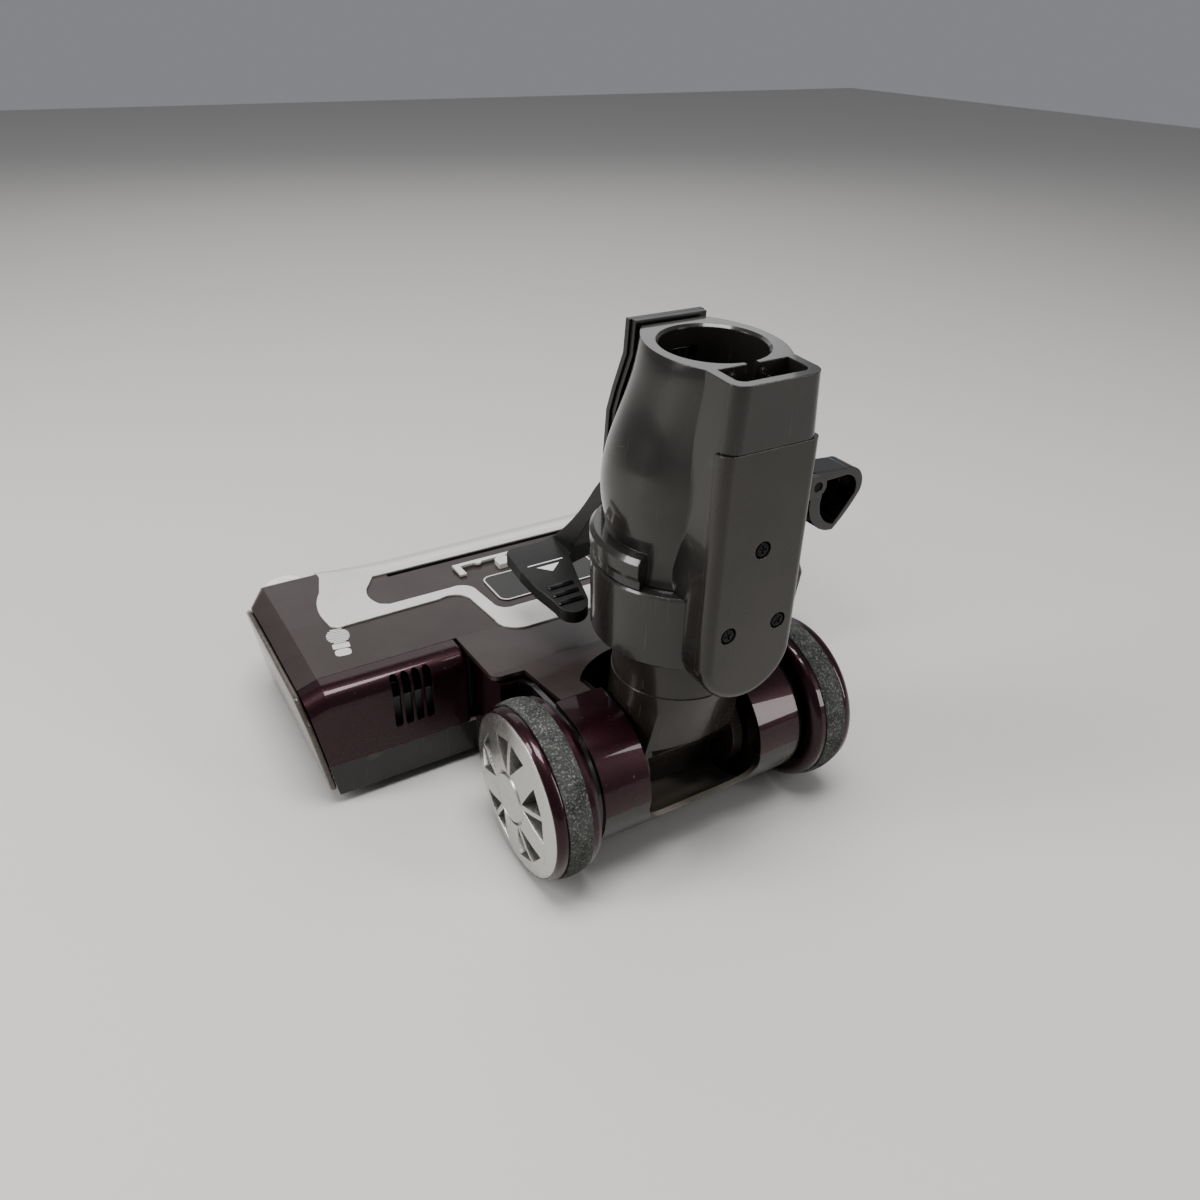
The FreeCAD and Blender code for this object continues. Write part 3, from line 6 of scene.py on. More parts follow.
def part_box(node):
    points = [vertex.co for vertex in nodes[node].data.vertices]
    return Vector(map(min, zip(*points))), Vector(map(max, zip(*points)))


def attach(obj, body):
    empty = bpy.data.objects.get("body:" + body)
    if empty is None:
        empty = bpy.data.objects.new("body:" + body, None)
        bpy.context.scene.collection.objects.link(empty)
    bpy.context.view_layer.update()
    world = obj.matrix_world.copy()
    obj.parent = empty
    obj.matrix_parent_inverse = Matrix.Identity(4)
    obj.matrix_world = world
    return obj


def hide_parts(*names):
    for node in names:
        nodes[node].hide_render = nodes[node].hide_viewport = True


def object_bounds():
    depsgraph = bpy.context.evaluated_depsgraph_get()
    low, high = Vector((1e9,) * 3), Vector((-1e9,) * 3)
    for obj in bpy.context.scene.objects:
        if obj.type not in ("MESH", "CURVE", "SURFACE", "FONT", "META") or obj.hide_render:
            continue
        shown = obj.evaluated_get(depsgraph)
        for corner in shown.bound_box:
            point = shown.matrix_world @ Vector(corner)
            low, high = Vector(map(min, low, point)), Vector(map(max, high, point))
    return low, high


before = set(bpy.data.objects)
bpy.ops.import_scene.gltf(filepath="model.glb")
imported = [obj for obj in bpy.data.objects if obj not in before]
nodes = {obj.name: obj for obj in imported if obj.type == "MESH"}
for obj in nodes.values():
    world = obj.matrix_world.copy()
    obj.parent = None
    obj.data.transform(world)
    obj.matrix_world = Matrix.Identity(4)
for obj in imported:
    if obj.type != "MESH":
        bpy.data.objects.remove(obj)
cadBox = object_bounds()
print("frame loaded:", len(nodes), "nodes")


def fill(tree, socket, value):
    if isinstance(value, bpy.types.NodeSocket):
        tree.links.new(value, socket)
    else:
        socket.default_value = value


def addNode(tree, kind, **inputs):
    made = tree.nodes.new("ShaderNode" + kind)
    for name, value in inputs.items():
        fill(tree, made.inputs[name.replace("_", " ")], value)
    return made


def place(tree, scale=(1, 1, 1), turn=(0, 0, 0)):
    coords = addNode(tree, "TexCoord").outputs["Object"]
    turned = addNode(tree, "Mapping", Vector=coords, Scale=scale)
    turned.inputs["Rotation"].default_value = [math.radians(n) for n in turn]
    return turned.outputs[0]


def noise(tree, scale, detail=2.0, where=None, rough=0.5):
    made = addNode(tree, "TexNoise", Scale=scale, Detail=detail, Roughness=rough)
    fill(tree, made.inputs["Vector"], where or place(tree))
    return made.outputs[0]


def between(tree, value, low, high, toLow=0.0, toHigh=1.0):
    made = addNode(tree, "MapRange", Value=value, From_Min=low, From_Max=high, To_Min=toLow, To_Max=toHigh)
    return made.outputs[0]


def calculate(tree, what, first, second=0.0):
    made = tree.nodes.new("ShaderNodeMath")
    made.operation = what
    made.use_clamp = what in ("ADD", "MULTIPLY_ADD")
    fill(tree, made.inputs[0], first)
    fill(tree, made.inputs[1], second)
    return made.outputs[0]


def mixColors(tree, share, first, second):
    made = tree.nodes.new("ShaderNodeMix")
    made.data_type = "RGBA"
    fill(tree, made.inputs[0], share)
    fill(tree, made.inputs[6], first)
    fill(tree, made.inputs[7], second)
    return made.outputs[2]


def bump(tree, height, depth, under=None):
    made = addNode(tree, "Bump", Height=height, Distance=depth, Strength=1.0)
    if under is not None:
        tree.links.new(under, made.inputs["Normal"])
    return made.outputs[0]


def color(red, green, blue):
    return (red, green, blue, 1.0)


scratchLook = {"directions": (((0, 0, 35), (900, 25, 40)), ((20, 0, -50), (30, 1100, 60))), "patches": 22.0,
               "patchRange": (0.45, 0.7), "from": 0.74, "fromWider": 0.1, "to": 0.78, "toWider": 0.08,
               "depth": 0.00001}


def scratches(tree, amount):
    # fine lines in two directions; amount 0 to 1 widens them
    lines = None
    for turn, stretch in scratchLook["directions"]:
        streak = noise(tree, 1.0, 1.0, place(tree, stretch, turn))
        patch = between(tree, noise(tree, scratchLook["patches"], 3.0), *scratchLook["patchRange"])
        low = scratchLook["from"] - scratchLook["fromWider"] * amount
        high = scratchLook["to"] - scratchLook["toWider"] * amount
        line = between(tree, streak, low, high)
        line = calculate(tree, "MULTIPLY", line, patch)
        lines = line if lines is None else calculate(tree, "ADD", lines, line)
    return lines


dustLook = {"color": color(0.30, 0.27, 0.23), "facing": (0.2, 0.95), "patches": 35.0,
            "patchRange": (0.42, 0.75), "specks": 1500.0, "speckRange": (0.62, 0.7)}


def dustFilm(tree, amount, spread=0.0):
    # settles on faces that look up, in uneven patches with fine specks
    facing = addNode(tree, "SeparateXYZ", Vector=addNode(tree, "NewGeometry").outputs["Normal"]).outputs[2]
    upward = between(tree, facing, *dustLook["facing"])
    low, high = dustLook["patchRange"]
    patches = between(tree, noise(tree, dustLook["patches"], 6.0, rough=0.65), low - spread, high - spread)
    specks = between(tree, noise(tree, dustLook["specks"], 1.0), *dustLook["speckRange"])
    film = calculate(tree, "MULTIPLY", upward, calculate(tree, "ADD", patches, specks))
    return calculate(tree, "MULTIPLY", film, amount)


edgeLook = {"samples": 4, "breaks": 260.0, "breakRange": (0.4, 0.65), "flat": 0.985, "sharp": 0.9}


def softEdge(tree, radius):
    made = addNode(tree, "Bevel", Radius=radius)
    made.samples = edgeLook["samples"]
    return made.outputs[0]


def wornEdge(tree, rounded):
    # near 1 along sharp edges, with breaks, and 0 on open faces
    made = tree.nodes.new("ShaderNodeVectorMath")
    made.operation = "DOT_PRODUCT"
    fill(tree, made.inputs[0], rounded)
    fill(tree, made.inputs[1], addNode(tree, "NewGeometry").outputs["Normal"])
    broken = between(tree, noise(tree, edgeLook["breaks"], 4.0, rough=0.7), *edgeLook["breakRange"])
    sharp = between(tree, made.outputs["Value"], edgeLook["flat"], edgeLook["sharp"])
    return calculate(tree, "MULTIPLY", sharp, broken)


def newMaterial(name):
    material = bpy.data.materials.new(name)
    material.use_nodes = True
    return material, material.node_tree, material.node_tree.nodes["Principled BSDF"]


plasticLook = {"clouds": 30.0, "cloudRange": (0.35, 0.7), "scratchTint": 0.25, "rubbed": 0.25, "blotch": 0.06,
               "wearRough": 0.3, "grainDetail": 2.0, "coatBlur": 0.06, "coatIndex": 1.38, "shine": 0.5}


def plastic(name, look):
    # moulded plastic: clouded colour, fine grain, scratches, rubbed edges and a film of dust
    material, tree, shader = newMaterial(name)
    clouds = between(tree, noise(tree, plasticLook["clouds"], 4.0), *plasticLook["cloudRange"])
    tint = mixColors(tree, clouds, look["dark"], look["light"])
    lines = scratches(tree, look["scratches"])
    tint = mixColors(tree, calculate(tree, "MULTIPLY", lines, plasticLook["scratchTint"]), tint, look["worn"])
    rounded = softEdge(tree, look["edge"])
    rubbed = look.get("rubbed", plasticLook["rubbed"])
    edges = calculate(tree, "MULTIPLY", wornEdge(tree, rounded), rubbed)
    tint = mixColors(tree, edges, tint, look["worn"])
    dust = dustFilm(tree, look["dust"], look.get("spread", 0.0))
    tint = mixColors(tree, dust, tint, dustLook["color"])
    fill(tree, shader.inputs["Base Color"], tint)
    blotched = between(tree, clouds, 0.0, 1.0, look["gloss"], look["gloss"] + plasticLook["blotch"])
    wear = calculate(tree, "MULTIPLY", calculate(tree, "ADD", lines, dust), plasticLook["wearRough"])
    rough = calculate(tree, "ADD", blotched, wear)
    fill(tree, shader.inputs["Roughness"], rough)
    grain = noise(tree, look["grainScale"], plasticLook["grainDetail"])
    shape = bump(tree, grain, look["grain"], rounded)
    fill(tree, shader.inputs["Normal"], bump(tree, lines, -scratchLook["depth"], shape))
    shader.inputs["Metallic"].default_value = look.get("metal", 0.0)
    shader.inputs["Coat Weight"].default_value = look.get("coat", 0.0)
    shader.inputs["Coat Roughness"].default_value = look.get("coatBlur", plasticLook["coatBlur"])
    shader.inputs["Coat IOR"].default_value = plasticLook["coatIndex"]
    shader.inputs["Specular IOR Level"].default_value = look.get("shine", plasticLook["shine"])
    return material


paintLook = {"flakes": 4200.0, "flakeDepth": 0.00001, "sparkleRange": (0.6, 0.8), "sparkle": 0.7,
             "scratchTint": 0.2, "grimeTop": 0.06, "grimeFull": 0.02, "grimeSpecks": 900.0,
             "grimeRange": (0.56, 0.66), "chips": 420.0, "chipRange": (0.735, 0.75), "dirtyRough": 0.75,
             "edge": 0.0008, "coatLost": 0.5, "coatBlur": 0.03, "coatIndex": 1.36}


def flakePaint(name, look):
    # burgundy paint with metal flakes under a clear coat, dustier towards the floor
    material, tree, shader = newMaterial(name)
    flakes = noise(tree, paintLook["flakes"], 0.0)
    sparkle = between(tree, flakes, *paintLook["sparkleRange"])
    sparkle = calculate(tree, "MULTIPLY", sparkle, paintLook["sparkle"])
    tint = mixColors(tree, sparkle, look["paint"], look["flake"])
    lines = scratches(tree, look["scratches"])
    tint = mixColors(tree, calculate(tree, "MULTIPLY", lines, paintLook["scratchTint"]), tint, look["flake"])
    height = addNode(tree, "SeparateXYZ", Vector=addNode(tree, "TexCoord").outputs["Object"]).outputs[2]
    low = between(tree, height, paintLook["grimeTop"], paintLook["grimeFull"])
    specks = noise(tree, paintLook["grimeSpecks"], 5.0, rough=0.7)
    specks = between(tree, specks, *paintLook["grimeRange"])
    grime = calculate(tree, "MULTIPLY", calculate(tree, "MULTIPLY", low, specks), look["grime"])
    chips = between(tree, noise(tree, paintLook["chips"], 2.0), *paintLook["chipRange"])
    dust = calculate(tree, "ADD", grime, calculate(tree, "ADD", dustFilm(tree, look["dust"]),
                                                   calculate(tree, "MULTIPLY", chips, look["chips"])))
    tint = mixColors(tree, dust, tint, look["speck"])
    fill(tree, shader.inputs["Base Color"], tint)
    rough = between(tree, dust, 0.0, 1.0, look["gloss"], paintLook["dirtyRough"])
    fill(tree, shader.inputs["Roughness"], rough)
    shape = bump(tree, flakes, paintLook["flakeDepth"], softEdge(tree, paintLook["edge"]))
    fill(tree, shader.inputs["Normal"], bump(tree, lines, -scratchLook["depth"], shape))
    fill(tree, shader.inputs["Coat Weight"], between(tree, dust, 0.0, paintLook["coatLost"], 1.0, 0.0))
    shader.inputs["Coat Roughness"].default_value = paintLook["coatBlur"]
    shader.inputs["Coat IOR"].default_value = paintLook["coatIndex"]
    shader.inputs["Metallic"].default_value = look["metal"]
    return material


silverLook = {"flakes": 4200.0, "flakeRange": (0.35, 0.7), "flakeTint": 0.18, "flakeDepth": 0.00001,
              "smudges": 60.0, "smudgeRange": (0.5, 0.8), "smudgeRough": 0.2, "scratchTint": 0.5,
              "scratchDepth": 0.00002, "coatBlur": 0.12}


def satinSilver(name, look):
    # silver paint: fine sparkle, rubbed edges, scratches and smudges
    material, tree, shader = newMaterial(name)
    flakes = between(tree, noise(tree, silverLook["flakes"], 1.0), *silverLook["flakeRange"])
    share = calculate(tree, "MULTIPLY", flakes, silverLook["flakeTint"])
    tint = mixColors(tree, share, look["light"], look["dark"])
    lines = scratches(tree, look["scratches"])
    tint = mixColors(tree, calculate(tree, "MULTIPLY", lines, silverLook["scratchTint"]), tint, look["worn"])
    smudge = noise(tree, silverLook["smudges"], 6.0, rough=0.7)
    smudge = between(tree, smudge, *silverLook["smudgeRange"])
    tint = mixColors(tree, calculate(tree, "MULTIPLY", smudge, look["grime"]), tint, look["worn"])
    rounded = softEdge(tree, look["edge"])
    edges = calculate(tree, "MULTIPLY", wornEdge(tree, rounded), look["rubbed"])
    tint = mixColors(tree, edges, tint, look["worn"])
    fill(tree, shader.inputs["Base Color"], tint)
    dull = look["gloss"] + silverLook["smudgeRough"]
    fill(tree, shader.inputs["Roughness"], between(tree, smudge, 0.0, 1.0, look["gloss"], dull))
    shape = bump(tree, flakes, silverLook["flakeDepth"], rounded)
    fill(tree, shader.inputs["Normal"], bump(tree, lines, -silverLook["scratchDepth"], shape))
    shader.inputs["Metallic"].default_value = look["metal"]
    shader.inputs["Coat Weight"].default_value = look["coat"]
    shader.inputs["Coat Roughness"].default_value = silverLook["coatBlur"]
    return material


foamLook = {"lint": 900.0, "lintRange": (0.52, 0.68), "patches": 90.0, "patchRange": (0.35, 0.7),
            "lumps": 260.0, "lumpShare": 0.8, "depth": 0.0009, "edge": 0.0008, "rough": 0.95, "shine": 0.2}


def dustyFoam(name, look):
    # soft tread, grey with lint and dust pressed into it
    material, tree, shader = newMaterial(name)
    lint = noise(tree, foamLook["lint"], 5.0, rough=0.75)
    patches = noise(tree, foamLook["patches"], 6.0, rough=0.7)
    patches = between(tree, patches, *foamLook["patchRange"])
    tint = mixColors(tree, patches, look["dark"], look["light"])
    tint = mixColors(tree, between(tree, lint, *foamLook["lintRange"]), tint, look["lint"])
    fill(tree, shader.inputs["Base Color"], tint)
    shader.inputs["Roughness"].default_value = foamLook["rough"]
    shader.inputs["Specular IOR Level"].default_value = foamLook["shine"]
    lumps = calculate(tree, "MULTIPLY", noise(tree, foamLook["lumps"], 3.0), foamLook["lumpShare"])
    rough = calculate(tree, "ADD", lint, lumps)
    shape = bump(tree, rough, foamLook["depth"], softEdge(tree, foamLook["edge"]))
    fill(tree, shader.inputs["Normal"], shape)
    return material


metalLook = {"toolMarks": (3000, 300, 300), "markDepth": 0.00001, "tarnish": 150.0,
             "tarnishRange": (0.5, 0.75), "tarnishTint": 0.5, "tarnishRough": 0.55, "edge": 0.0002}


def metal(name, look):
    # turned steel or brass with tool marks and a little tarnish
    material, tree, shader = newMaterial(name)
    marks = noise(tree, 1.0, 2.0, place(tree, metalLook["toolMarks"]))
    tarnish = between(tree, noise(tree, metalLook["tarnish"], 5.0), *metalLook["tarnishRange"])
    share = calculate(tree, "MULTIPLY", tarnish, metalLook["tarnishTint"])
    tint = mixColors(tree, share, look["light"], look["dark"])
    fill(tree, shader.inputs["Base Color"], tint)
    rough = between(tree, tarnish, 0.0, 1.0, look["gloss"], metalLook["tarnishRough"])
    fill(tree, shader.inputs["Roughness"], rough)
    shape = bump(tree, marks, metalLook["markDepth"], softEdge(tree, metalLook["edge"]))
    fill(tree, shader.inputs["Normal"], shape)
    shader.inputs["Metallic"].default_value = 1.0
    return material


woodLook = {"grain": (12, 420, 420), "grainRange": (0.35, 0.65), "pores": (60, 2200, 2200),
            "poreRange": (0.62, 0.7), "poreTint": 0.6, "rough": 0.4, "depth": 0.00005}


def lacqueredWood(name, look):
    # beech dowel with its grain along the head
    material, tree, shader = newMaterial(name)
    grain = noise(tree, 1.0, 4.0, place(tree, woodLook["grain"]))
    tint = mixColors(tree, between(tree, grain, *woodLook["grainRange"]), look["dark"], look["light"])
    pores = noise(tree, 1.0, 2.0, place(tree, woodLook["pores"]))
    pores = between(tree, pores, *woodLook["poreRange"])
    tint = mixColors(tree, calculate(tree, "MULTIPLY", pores, woodLook["poreTint"]), tint, look["pore"])
    fill(tree, shader.inputs["Base Color"], tint)
    shader.inputs["Roughness"].default_value = woodLook["rough"]
    fill(tree, shader.inputs["Normal"], bump(tree, grain, woodLook["depth"]))
    return material


bristleLook = {"hairs": (2600, 2600, 90), "hairRange": (0.4, 0.65), "rough": 0.6, "depth": 0.0006}


def bristleNylon(name, look):
    material, tree, shader = newMaterial(name)
    hairs = noise(tree, 1.0, 2.0, place(tree, bristleLook["hairs"]))
    tint = mixColors(tree, between(tree, hairs, *bristleLook["hairRange"]), look["dark"], look["light"])
    fill(tree, shader.inputs["Base Color"], tint)
    shader.inputs["Roughness"].default_value = bristleLook["rough"]
    fill(tree, shader.inputs["Normal"], bump(tree, hairs, bristleLook["depth"]))
    return material


rubberLook = {"wear": 220.0, "wearRange": (0.4, 0.7), "rough": 0.55, "wornRough": 0.8, "grain": 1600.0,
              "depth": 0.0001}


def beltRubber(name, look):
    material, tree, shader = newMaterial(name)
    worn = between(tree, noise(tree, rubberLook["wear"], 5.0), *rubberLook["wearRange"])
    fill(tree, shader.inputs["Base Color"], mixColors(tree, worn, look["dark"], look["light"]))
    rough = between(tree, worn, 0.0, 1.0, rubberLook["rough"], rubberLook["wornRough"])
    fill(tree, shader.inputs["Roughness"], rough)
    grain = noise(tree, rubberLook["grain"], 3.0)
    fill(tree, shader.inputs["Normal"], bump(tree, grain, rubberLook["depth"]))
    return material


lensLook = {"mist": 120.0, "mistRange": (0.45, 0.75), "dullest": 1.5, "clearRough": 0.06, "mistRough": 0.4,
            "scratchDepth": 0.00003, "edge": 0.001, "index": 1.49, "coat": 0.3}


def clearLens(name, look):
    # milky plastic that lets a little light through, scratched and misted
    material, tree, shader = newMaterial(name)
    lines = scratches(tree, look["scratches"])
    mist = between(tree, noise(tree, lensLook["mist"], 5.0), *lensLook["mistRange"])
    fill(tree, shader.inputs["Base Color"], mixColors(tree, mist, look["clear"], look["mist"]))
    dull = calculate(tree, "ADD", lines, mist)
    rough = between(tree, dull, 0.0, lensLook["dullest"], lensLook["clearRough"], lensLook["mistRough"])
    fill(tree, shader.inputs["Roughness"], rough)
    shape = bump(tree, lines, -lensLook["scratchDepth"], softEdge(tree, lensLook["edge"]))
    fill(tree, shader.inputs["Normal"], shape)
    shader.inputs["Transmission Weight"].default_value = look["transmission"]
    shader.inputs["IOR"].default_value = lensLook["index"]
    shader.inputs["Coat Weight"].default_value = lensLook["coat"]
    return material


coverTaupe = plastic("coverTaupe", {
    "dark": color(0.034, 0.024, 0.022), "light": color(0.042, 0.031, 0.029), "worn": color(0.16, 0.14, 0.13),
    "gloss": 0.34, "scratches": 0.25, "dust": 0.05, "grain": 0.00001, "grainScale": 2600.0, "edge": 0.0008,
    "coat": 0.35, "coatBlur": 0.10, "shine": 0.4})
capGrey = plastic("capGrey", {
    "dark": color(0.055, 0.043, 0.036), "light": color(0.085, 0.068, 0.056), "worn": color(0.42, 0.36, 0.31),
    "gloss": 0.25, "scratches": 1.0, "dust": 0.2, "grain": 0.00002, "grainScale": 1800.0, "edge": 0.0015,
    "coat": 0.7, "rubbed": 0.7})
archBlack = plastic("archBlack", {
    "dark": color(0.006, 0.005, 0.005), "light": color(0.010, 0.009, 0.009), "worn": color(0.09, 0.08, 0.08),
    "gloss": 0.16, "scratches": 0.2, "dust": 0.05, "grain": 0.00001, "grainScale": 2600.0, "edge": 0.0006,
    "coat": 0.9})
baseGrey = plastic("baseGrey", {
    "dark": color(0.013, 0.011, 0.009), "light": color(0.020, 0.018, 0.015), "worn": color(0.2, 0.18, 0.15),
    "gloss": 0.22, "scratches": 0.7, "dust": 0.9, "spread": 0.34, "grain": 0.00002, "grainScale": 1500.0,
    "edge": 0.0007, "coat": 0.6})
elbowGrey = plastic("elbowGrey", {
    "dark": color(0.030, 0.025, 0.021), "light": color(0.042, 0.036, 0.030), "worn": color(0.2, 0.18, 0.16),
    "gloss": 0.22, "scratches": 0.4, "dust": 0.3, "grain": 0.00001, "grainScale": 2400.0, "edge": 0.0007,
    "coat": 0.5})
neckGrey = plastic("neckGrey", {
    "dark": color(0.032, 0.030, 0.027), "light": color(0.042, 0.040, 0.036), "worn": color(0.18, 0.17, 0.16),
    "gloss": 0.20, "scratches": 0.35, "dust": 0.03, "grain": 0.000005, "grainScale": 2800.0, "edge": 0.0008,
    "coat": 0.75, "coatBlur": 0.05, "metal": 0.3})
neckCover = plastic("neckCover", {
    "dark": color(0.031, 0.028, 0.024), "light": color(0.040, 0.036, 0.031), "worn": color(0.18, 0.17, 0.15),
    "gloss": 0.24, "scratches": 0.35, "dust": 0.03, "grain": 0.00001, "grainScale": 2400.0, "edge": 0.0008,
    "coat": 0.55, "coatBlur": 0.08, "metal": 0.25})
shellBlack = plastic("shellBlack", {
    "dark": color(0.010, 0.010, 0.009), "light": color(0.016, 0.015, 0.014), "worn": color(0.12, 0.11, 0.10),
    "gloss": 0.30, "scratches": 0.3, "dust": 0.04, "grain": 0.00002, "grainScale": 2200.0, "edge": 0.0006,
    "coat": 0.3})
pedalGrey = plastic("pedalGrey", {
    "dark": color(0.013, 0.013, 0.012), "light": color(0.020, 0.020, 0.019), "worn": color(0.12, 0.12, 0.11),
    "gloss": 0.38, "scratches": 0.4, "dust": 0.05, "grain": 0.00006, "grainScale": 1600.0, "edge": 0.0009})
# near-black plastic of the handle lever, also used on the pad's grip bars as painted shade for the grooves
leverBlackAndGrooveShade = plastic("leverBlackAndGrooveShade", {
    "dark": color(0.004, 0.004, 0.004), "light": color(0.007, 0.006, 0.007), "worn": color(0.1, 0.1, 0.1),
    "gloss": 0.12, "scratches": 0.2, "dust": 0.02, "grain": 0.00001, "grainScale": 2600.0, "edge": 0.0012,
    "coat": 0.9})
darkField = plastic("darkField", {
    "dark": color(0.018, 0.018, 0.017), "light": color(0.026, 0.026, 0.024), "worn": color(0.12, 0.11, 0.10),
    "gloss": 0.34, "scratches": 0.4, "dust": 0.04, "grain": 0.00002, "grainScale": 2600.0, "edge": 0.0003,
    "coat": 0.2})
bushPlastic = plastic("bushPlastic", {
    "dark": color(0.35, 0.34, 0.31), "light": color(0.45, 0.44, 0.40), "worn": color(0.25, 0.23, 0.2),
    "gloss": 0.4, "scratches": 0.2, "dust": 0.2, "grain": 0.00002, "grainScale": 2200.0, "edge": 0.0003})
baffleGrey = plastic("baffleGrey", {
    "dark": color(0.11, 0.12, 0.115), "light": color(0.17, 0.185, 0.18), "worn": color(0.3, 0.3, 0.29),
    "gloss": 0.45, "scratches": 0.2, "dust": 0.3, "grain": 0.00002, "grainScale": 2200.0, "edge": 0.0003})
rollerBlack = plastic("rollerBlack", {
    "dark": color(0.015, 0.015, 0.015), "light": color(0.03, 0.03, 0.029), "worn": color(0.14, 0.13, 0.12),
    "gloss": 0.5, "scratches": 0.6, "dust": 0.4, "grain": 0.00005, "grainScale": 1500.0, "edge": 0.0005})
screwBlack = plastic("screwBlack", {
    "dark": color(0.012, 0.012, 0.013), "light": color(0.02, 0.02, 0.021), "worn": color(0.3, 0.3, 0.3),
    "gloss": 0.25, "scratches": 0.5, "dust": 0.05, "grain": 0.00002, "grainScale": 2600.0, "edge": 0.0002,
    "metal": 0.8, "rubbed": 0.6})
sliderWhite = plastic("sliderWhite", {
    "dark": color(0.50, 0.49, 0.46), "light": color(0.62, 0.61, 0.57), "worn": color(0.3, 0.28, 0.25),
    "gloss": 0.4, "scratches": 0.3, "dust": 0.1, "grain": 0.00002, "grainScale": 2200.0, "edge": 0.0004})
printWhite = plastic("printWhite", {
    "dark": color(0.62, 0.62, 0.60), "light": color(0.75, 0.75, 0.73), "worn": color(0.1, 0.1, 0.1),
    "gloss": 0.5, "scratches": 0.5, "dust": 0.0, "grain": 0.00001, "grainScale": 2600.0, "edge": 0.0001})
burgundy = flakePaint("burgundy", {
    "paint": color(0.017, 0.0020, 0.0048), "flake": color(0.17, 0.024, 0.055),
    "speck": color(0.26, 0.22, 0.20),
    "gloss": 0.34, "scratches": 0.25, "grime": 0.35, "dust": 0.02, "chips": 0.3, "metal": 0.6})
silverTrim = satinSilver("silverTrim", {
    "light": color(0.66, 0.65, 0.61), "dark": color(0.50, 0.49, 0.46), "worn": color(0.26, 0.24, 0.22),
    "gloss": 0.34, "scratches": 0.35, "grime": 0.08, "edge": 0.0006, "rubbed": 0.35, "metal": 0.3,
    "coat": 0.3})
hubSilver = satinSilver("hubSilver", {
    "light": color(0.55, 0.54, 0.52), "dark": color(0.36, 0.35, 0.34), "worn": color(0.22, 0.205, 0.19),
    "gloss": 0.25, "scratches": 0.4, "grime": 0.15, "edge": 0.0005, "rubbed": 0.1, "metal": 0.9, "coat": 0.1})
tyreGrey = dustyFoam("tyreGrey", {
    "dark": color(0.045, 0.046, 0.043), "light": color(0.11, 0.112, 0.105), "lint": color(0.30, 0.31, 0.29)})
steel = metal("steel", {"light": color(0.62, 0.62, 0.62), "dark": color(0.3, 0.29, 0.28), "gloss": 0.22})
pinBrass = metal("pinBrass", {
    "light": color(0.75, 0.72, 0.62), "dark": color(0.4, 0.36, 0.27), "gloss": 0.2})
brushWood = lacqueredWood("brushWood", {
    "dark": color(0.28, 0.17, 0.09), "light": color(0.46, 0.31, 0.17), "pore": color(0.12, 0.07, 0.035)})
bristle = bristleNylon("bristle", {"dark": color(0.006, 0.006, 0.006), "light": color(0.04, 0.04, 0.04)})
belt = beltRubber("belt", {"dark": color(0.01, 0.01, 0.01), "light": color(0.05, 0.048, 0.045)})
lensClear = clearLens("lensClear", {
    "clear": color(0.84, 0.82, 0.76), "mist": color(0.66, 0.63, 0.57), "scratches": 0.8,
    "transmission": 0.12})

nodeFinishes = [
    (coverTaupe, ["top_cover"]),
    (silverTrim, ["silver_trim", "height_frame"]),
    (burgundy, ["rear_housing_left", "rear_housing_right", "shoulder_left", "shoulder_right",
                "wheel_rim_left", "wheel_rim_right"]),
    (capGrey, ["end_cap_left", "end_cap_right"]),
    (baseGrey, ["base"]),
    (elbowGrey, ["elbow"]),
    (archBlack, ["wheel_arch_left", "wheel_arch_right", "motor_case"]),
    (tyreGrey, ["tyre_left", "tyre_right"]),
    (hubSilver, ["hub_cap_left", "hub_cap_right"]),
    (steel, ["stub_axle_left", "stub_axle_right", "roller_pin_left", "roller_pin_right", "motor_shaft",
             "motor_pulley", "pedal_pin"]),
    (bushPlastic, ["pivot_bush_left", "pivot_bush_right", "brush_bearing_left", "brush_bearing_right",
                   "swivel_ring"]),
    (rollerBlack, ["roller_left", "roller_right"]),
    (brushWood, ["brush_roll"]),
    (bristle, ["bristle_row_1", "bristle_row_2"]),
    (belt, ["drive_belt"]),
    (neckGrey, ["neck_body", "neck_collar", "wand_latch"]),
    (neckCover, ["rear_cover"]),
    (screwBlack, ["sole_screws", "cover_screws", "lever_pin"]),
    (shellBlack, ["connector_block", "front_shell", "front_cover"]),
    (pinBrass, ["contact_pins"]),
    (pedalGrey, ["wand_pedal"]),
    (leverBlackAndGrooveShade, ["handle_lever"]),
    (lensClear, ["headlight_lens_left", "headlight_lens_right"]),
    (sliderWhite, ["height_slider"]),
    (darkField, ["label_plate"])]

for finish, names in nodeFinishes:
    for name in names:
        nodes[name].data.materials.clear()
        nodes[name].data.materials.append(finish)
print("finishes assigned")


def deselectAll():
    bpy.ops.object.select_all(action="DESELECT")


def settle():
    # puts the selected piece's place, turn and size into its mesh
    bpy.ops.object.transform_apply(location=True, rotation=True, scale=True)


def applyModifier(piece, kind, **settings):
    bpy.context.view_layer.objects.active = piece
    made = piece.modifiers.new(kind.lower(), kind)
    for name, value in settings.items():
        setattr(made, name, value)
    bpy.ops.object.modifier_apply(modifier=made.name)


def cutAway(piece, cutter):
    applyModifier(piece, "BOOLEAN", object=cutter)
    bpy.data.objects.remove(cutter)


def newPlane(name, middle, wide, long, turn=0.0):
    # a flat blank, selected, with its place in its mesh
    deselectAll()
    bpy.ops.mesh.primitive_plane_add(size=1.0, location=middle, rotation=(0, 0, math.radians(turn)))
    piece = bpy.context.object
    piece.name = name
    piece.scale = (wide, long, 1)
    settle()
    return piece


def roundCorners(corner, segments=6):
    bpy.ops.object.mode_set(mode="EDIT")
    bpy.ops.mesh.select_all(action="SELECT")
    bpy.ops.mesh.bevel(offset=corner, segments=segments, affect="VERTICES")
    bpy.ops.object.mode_set(mode="OBJECT")


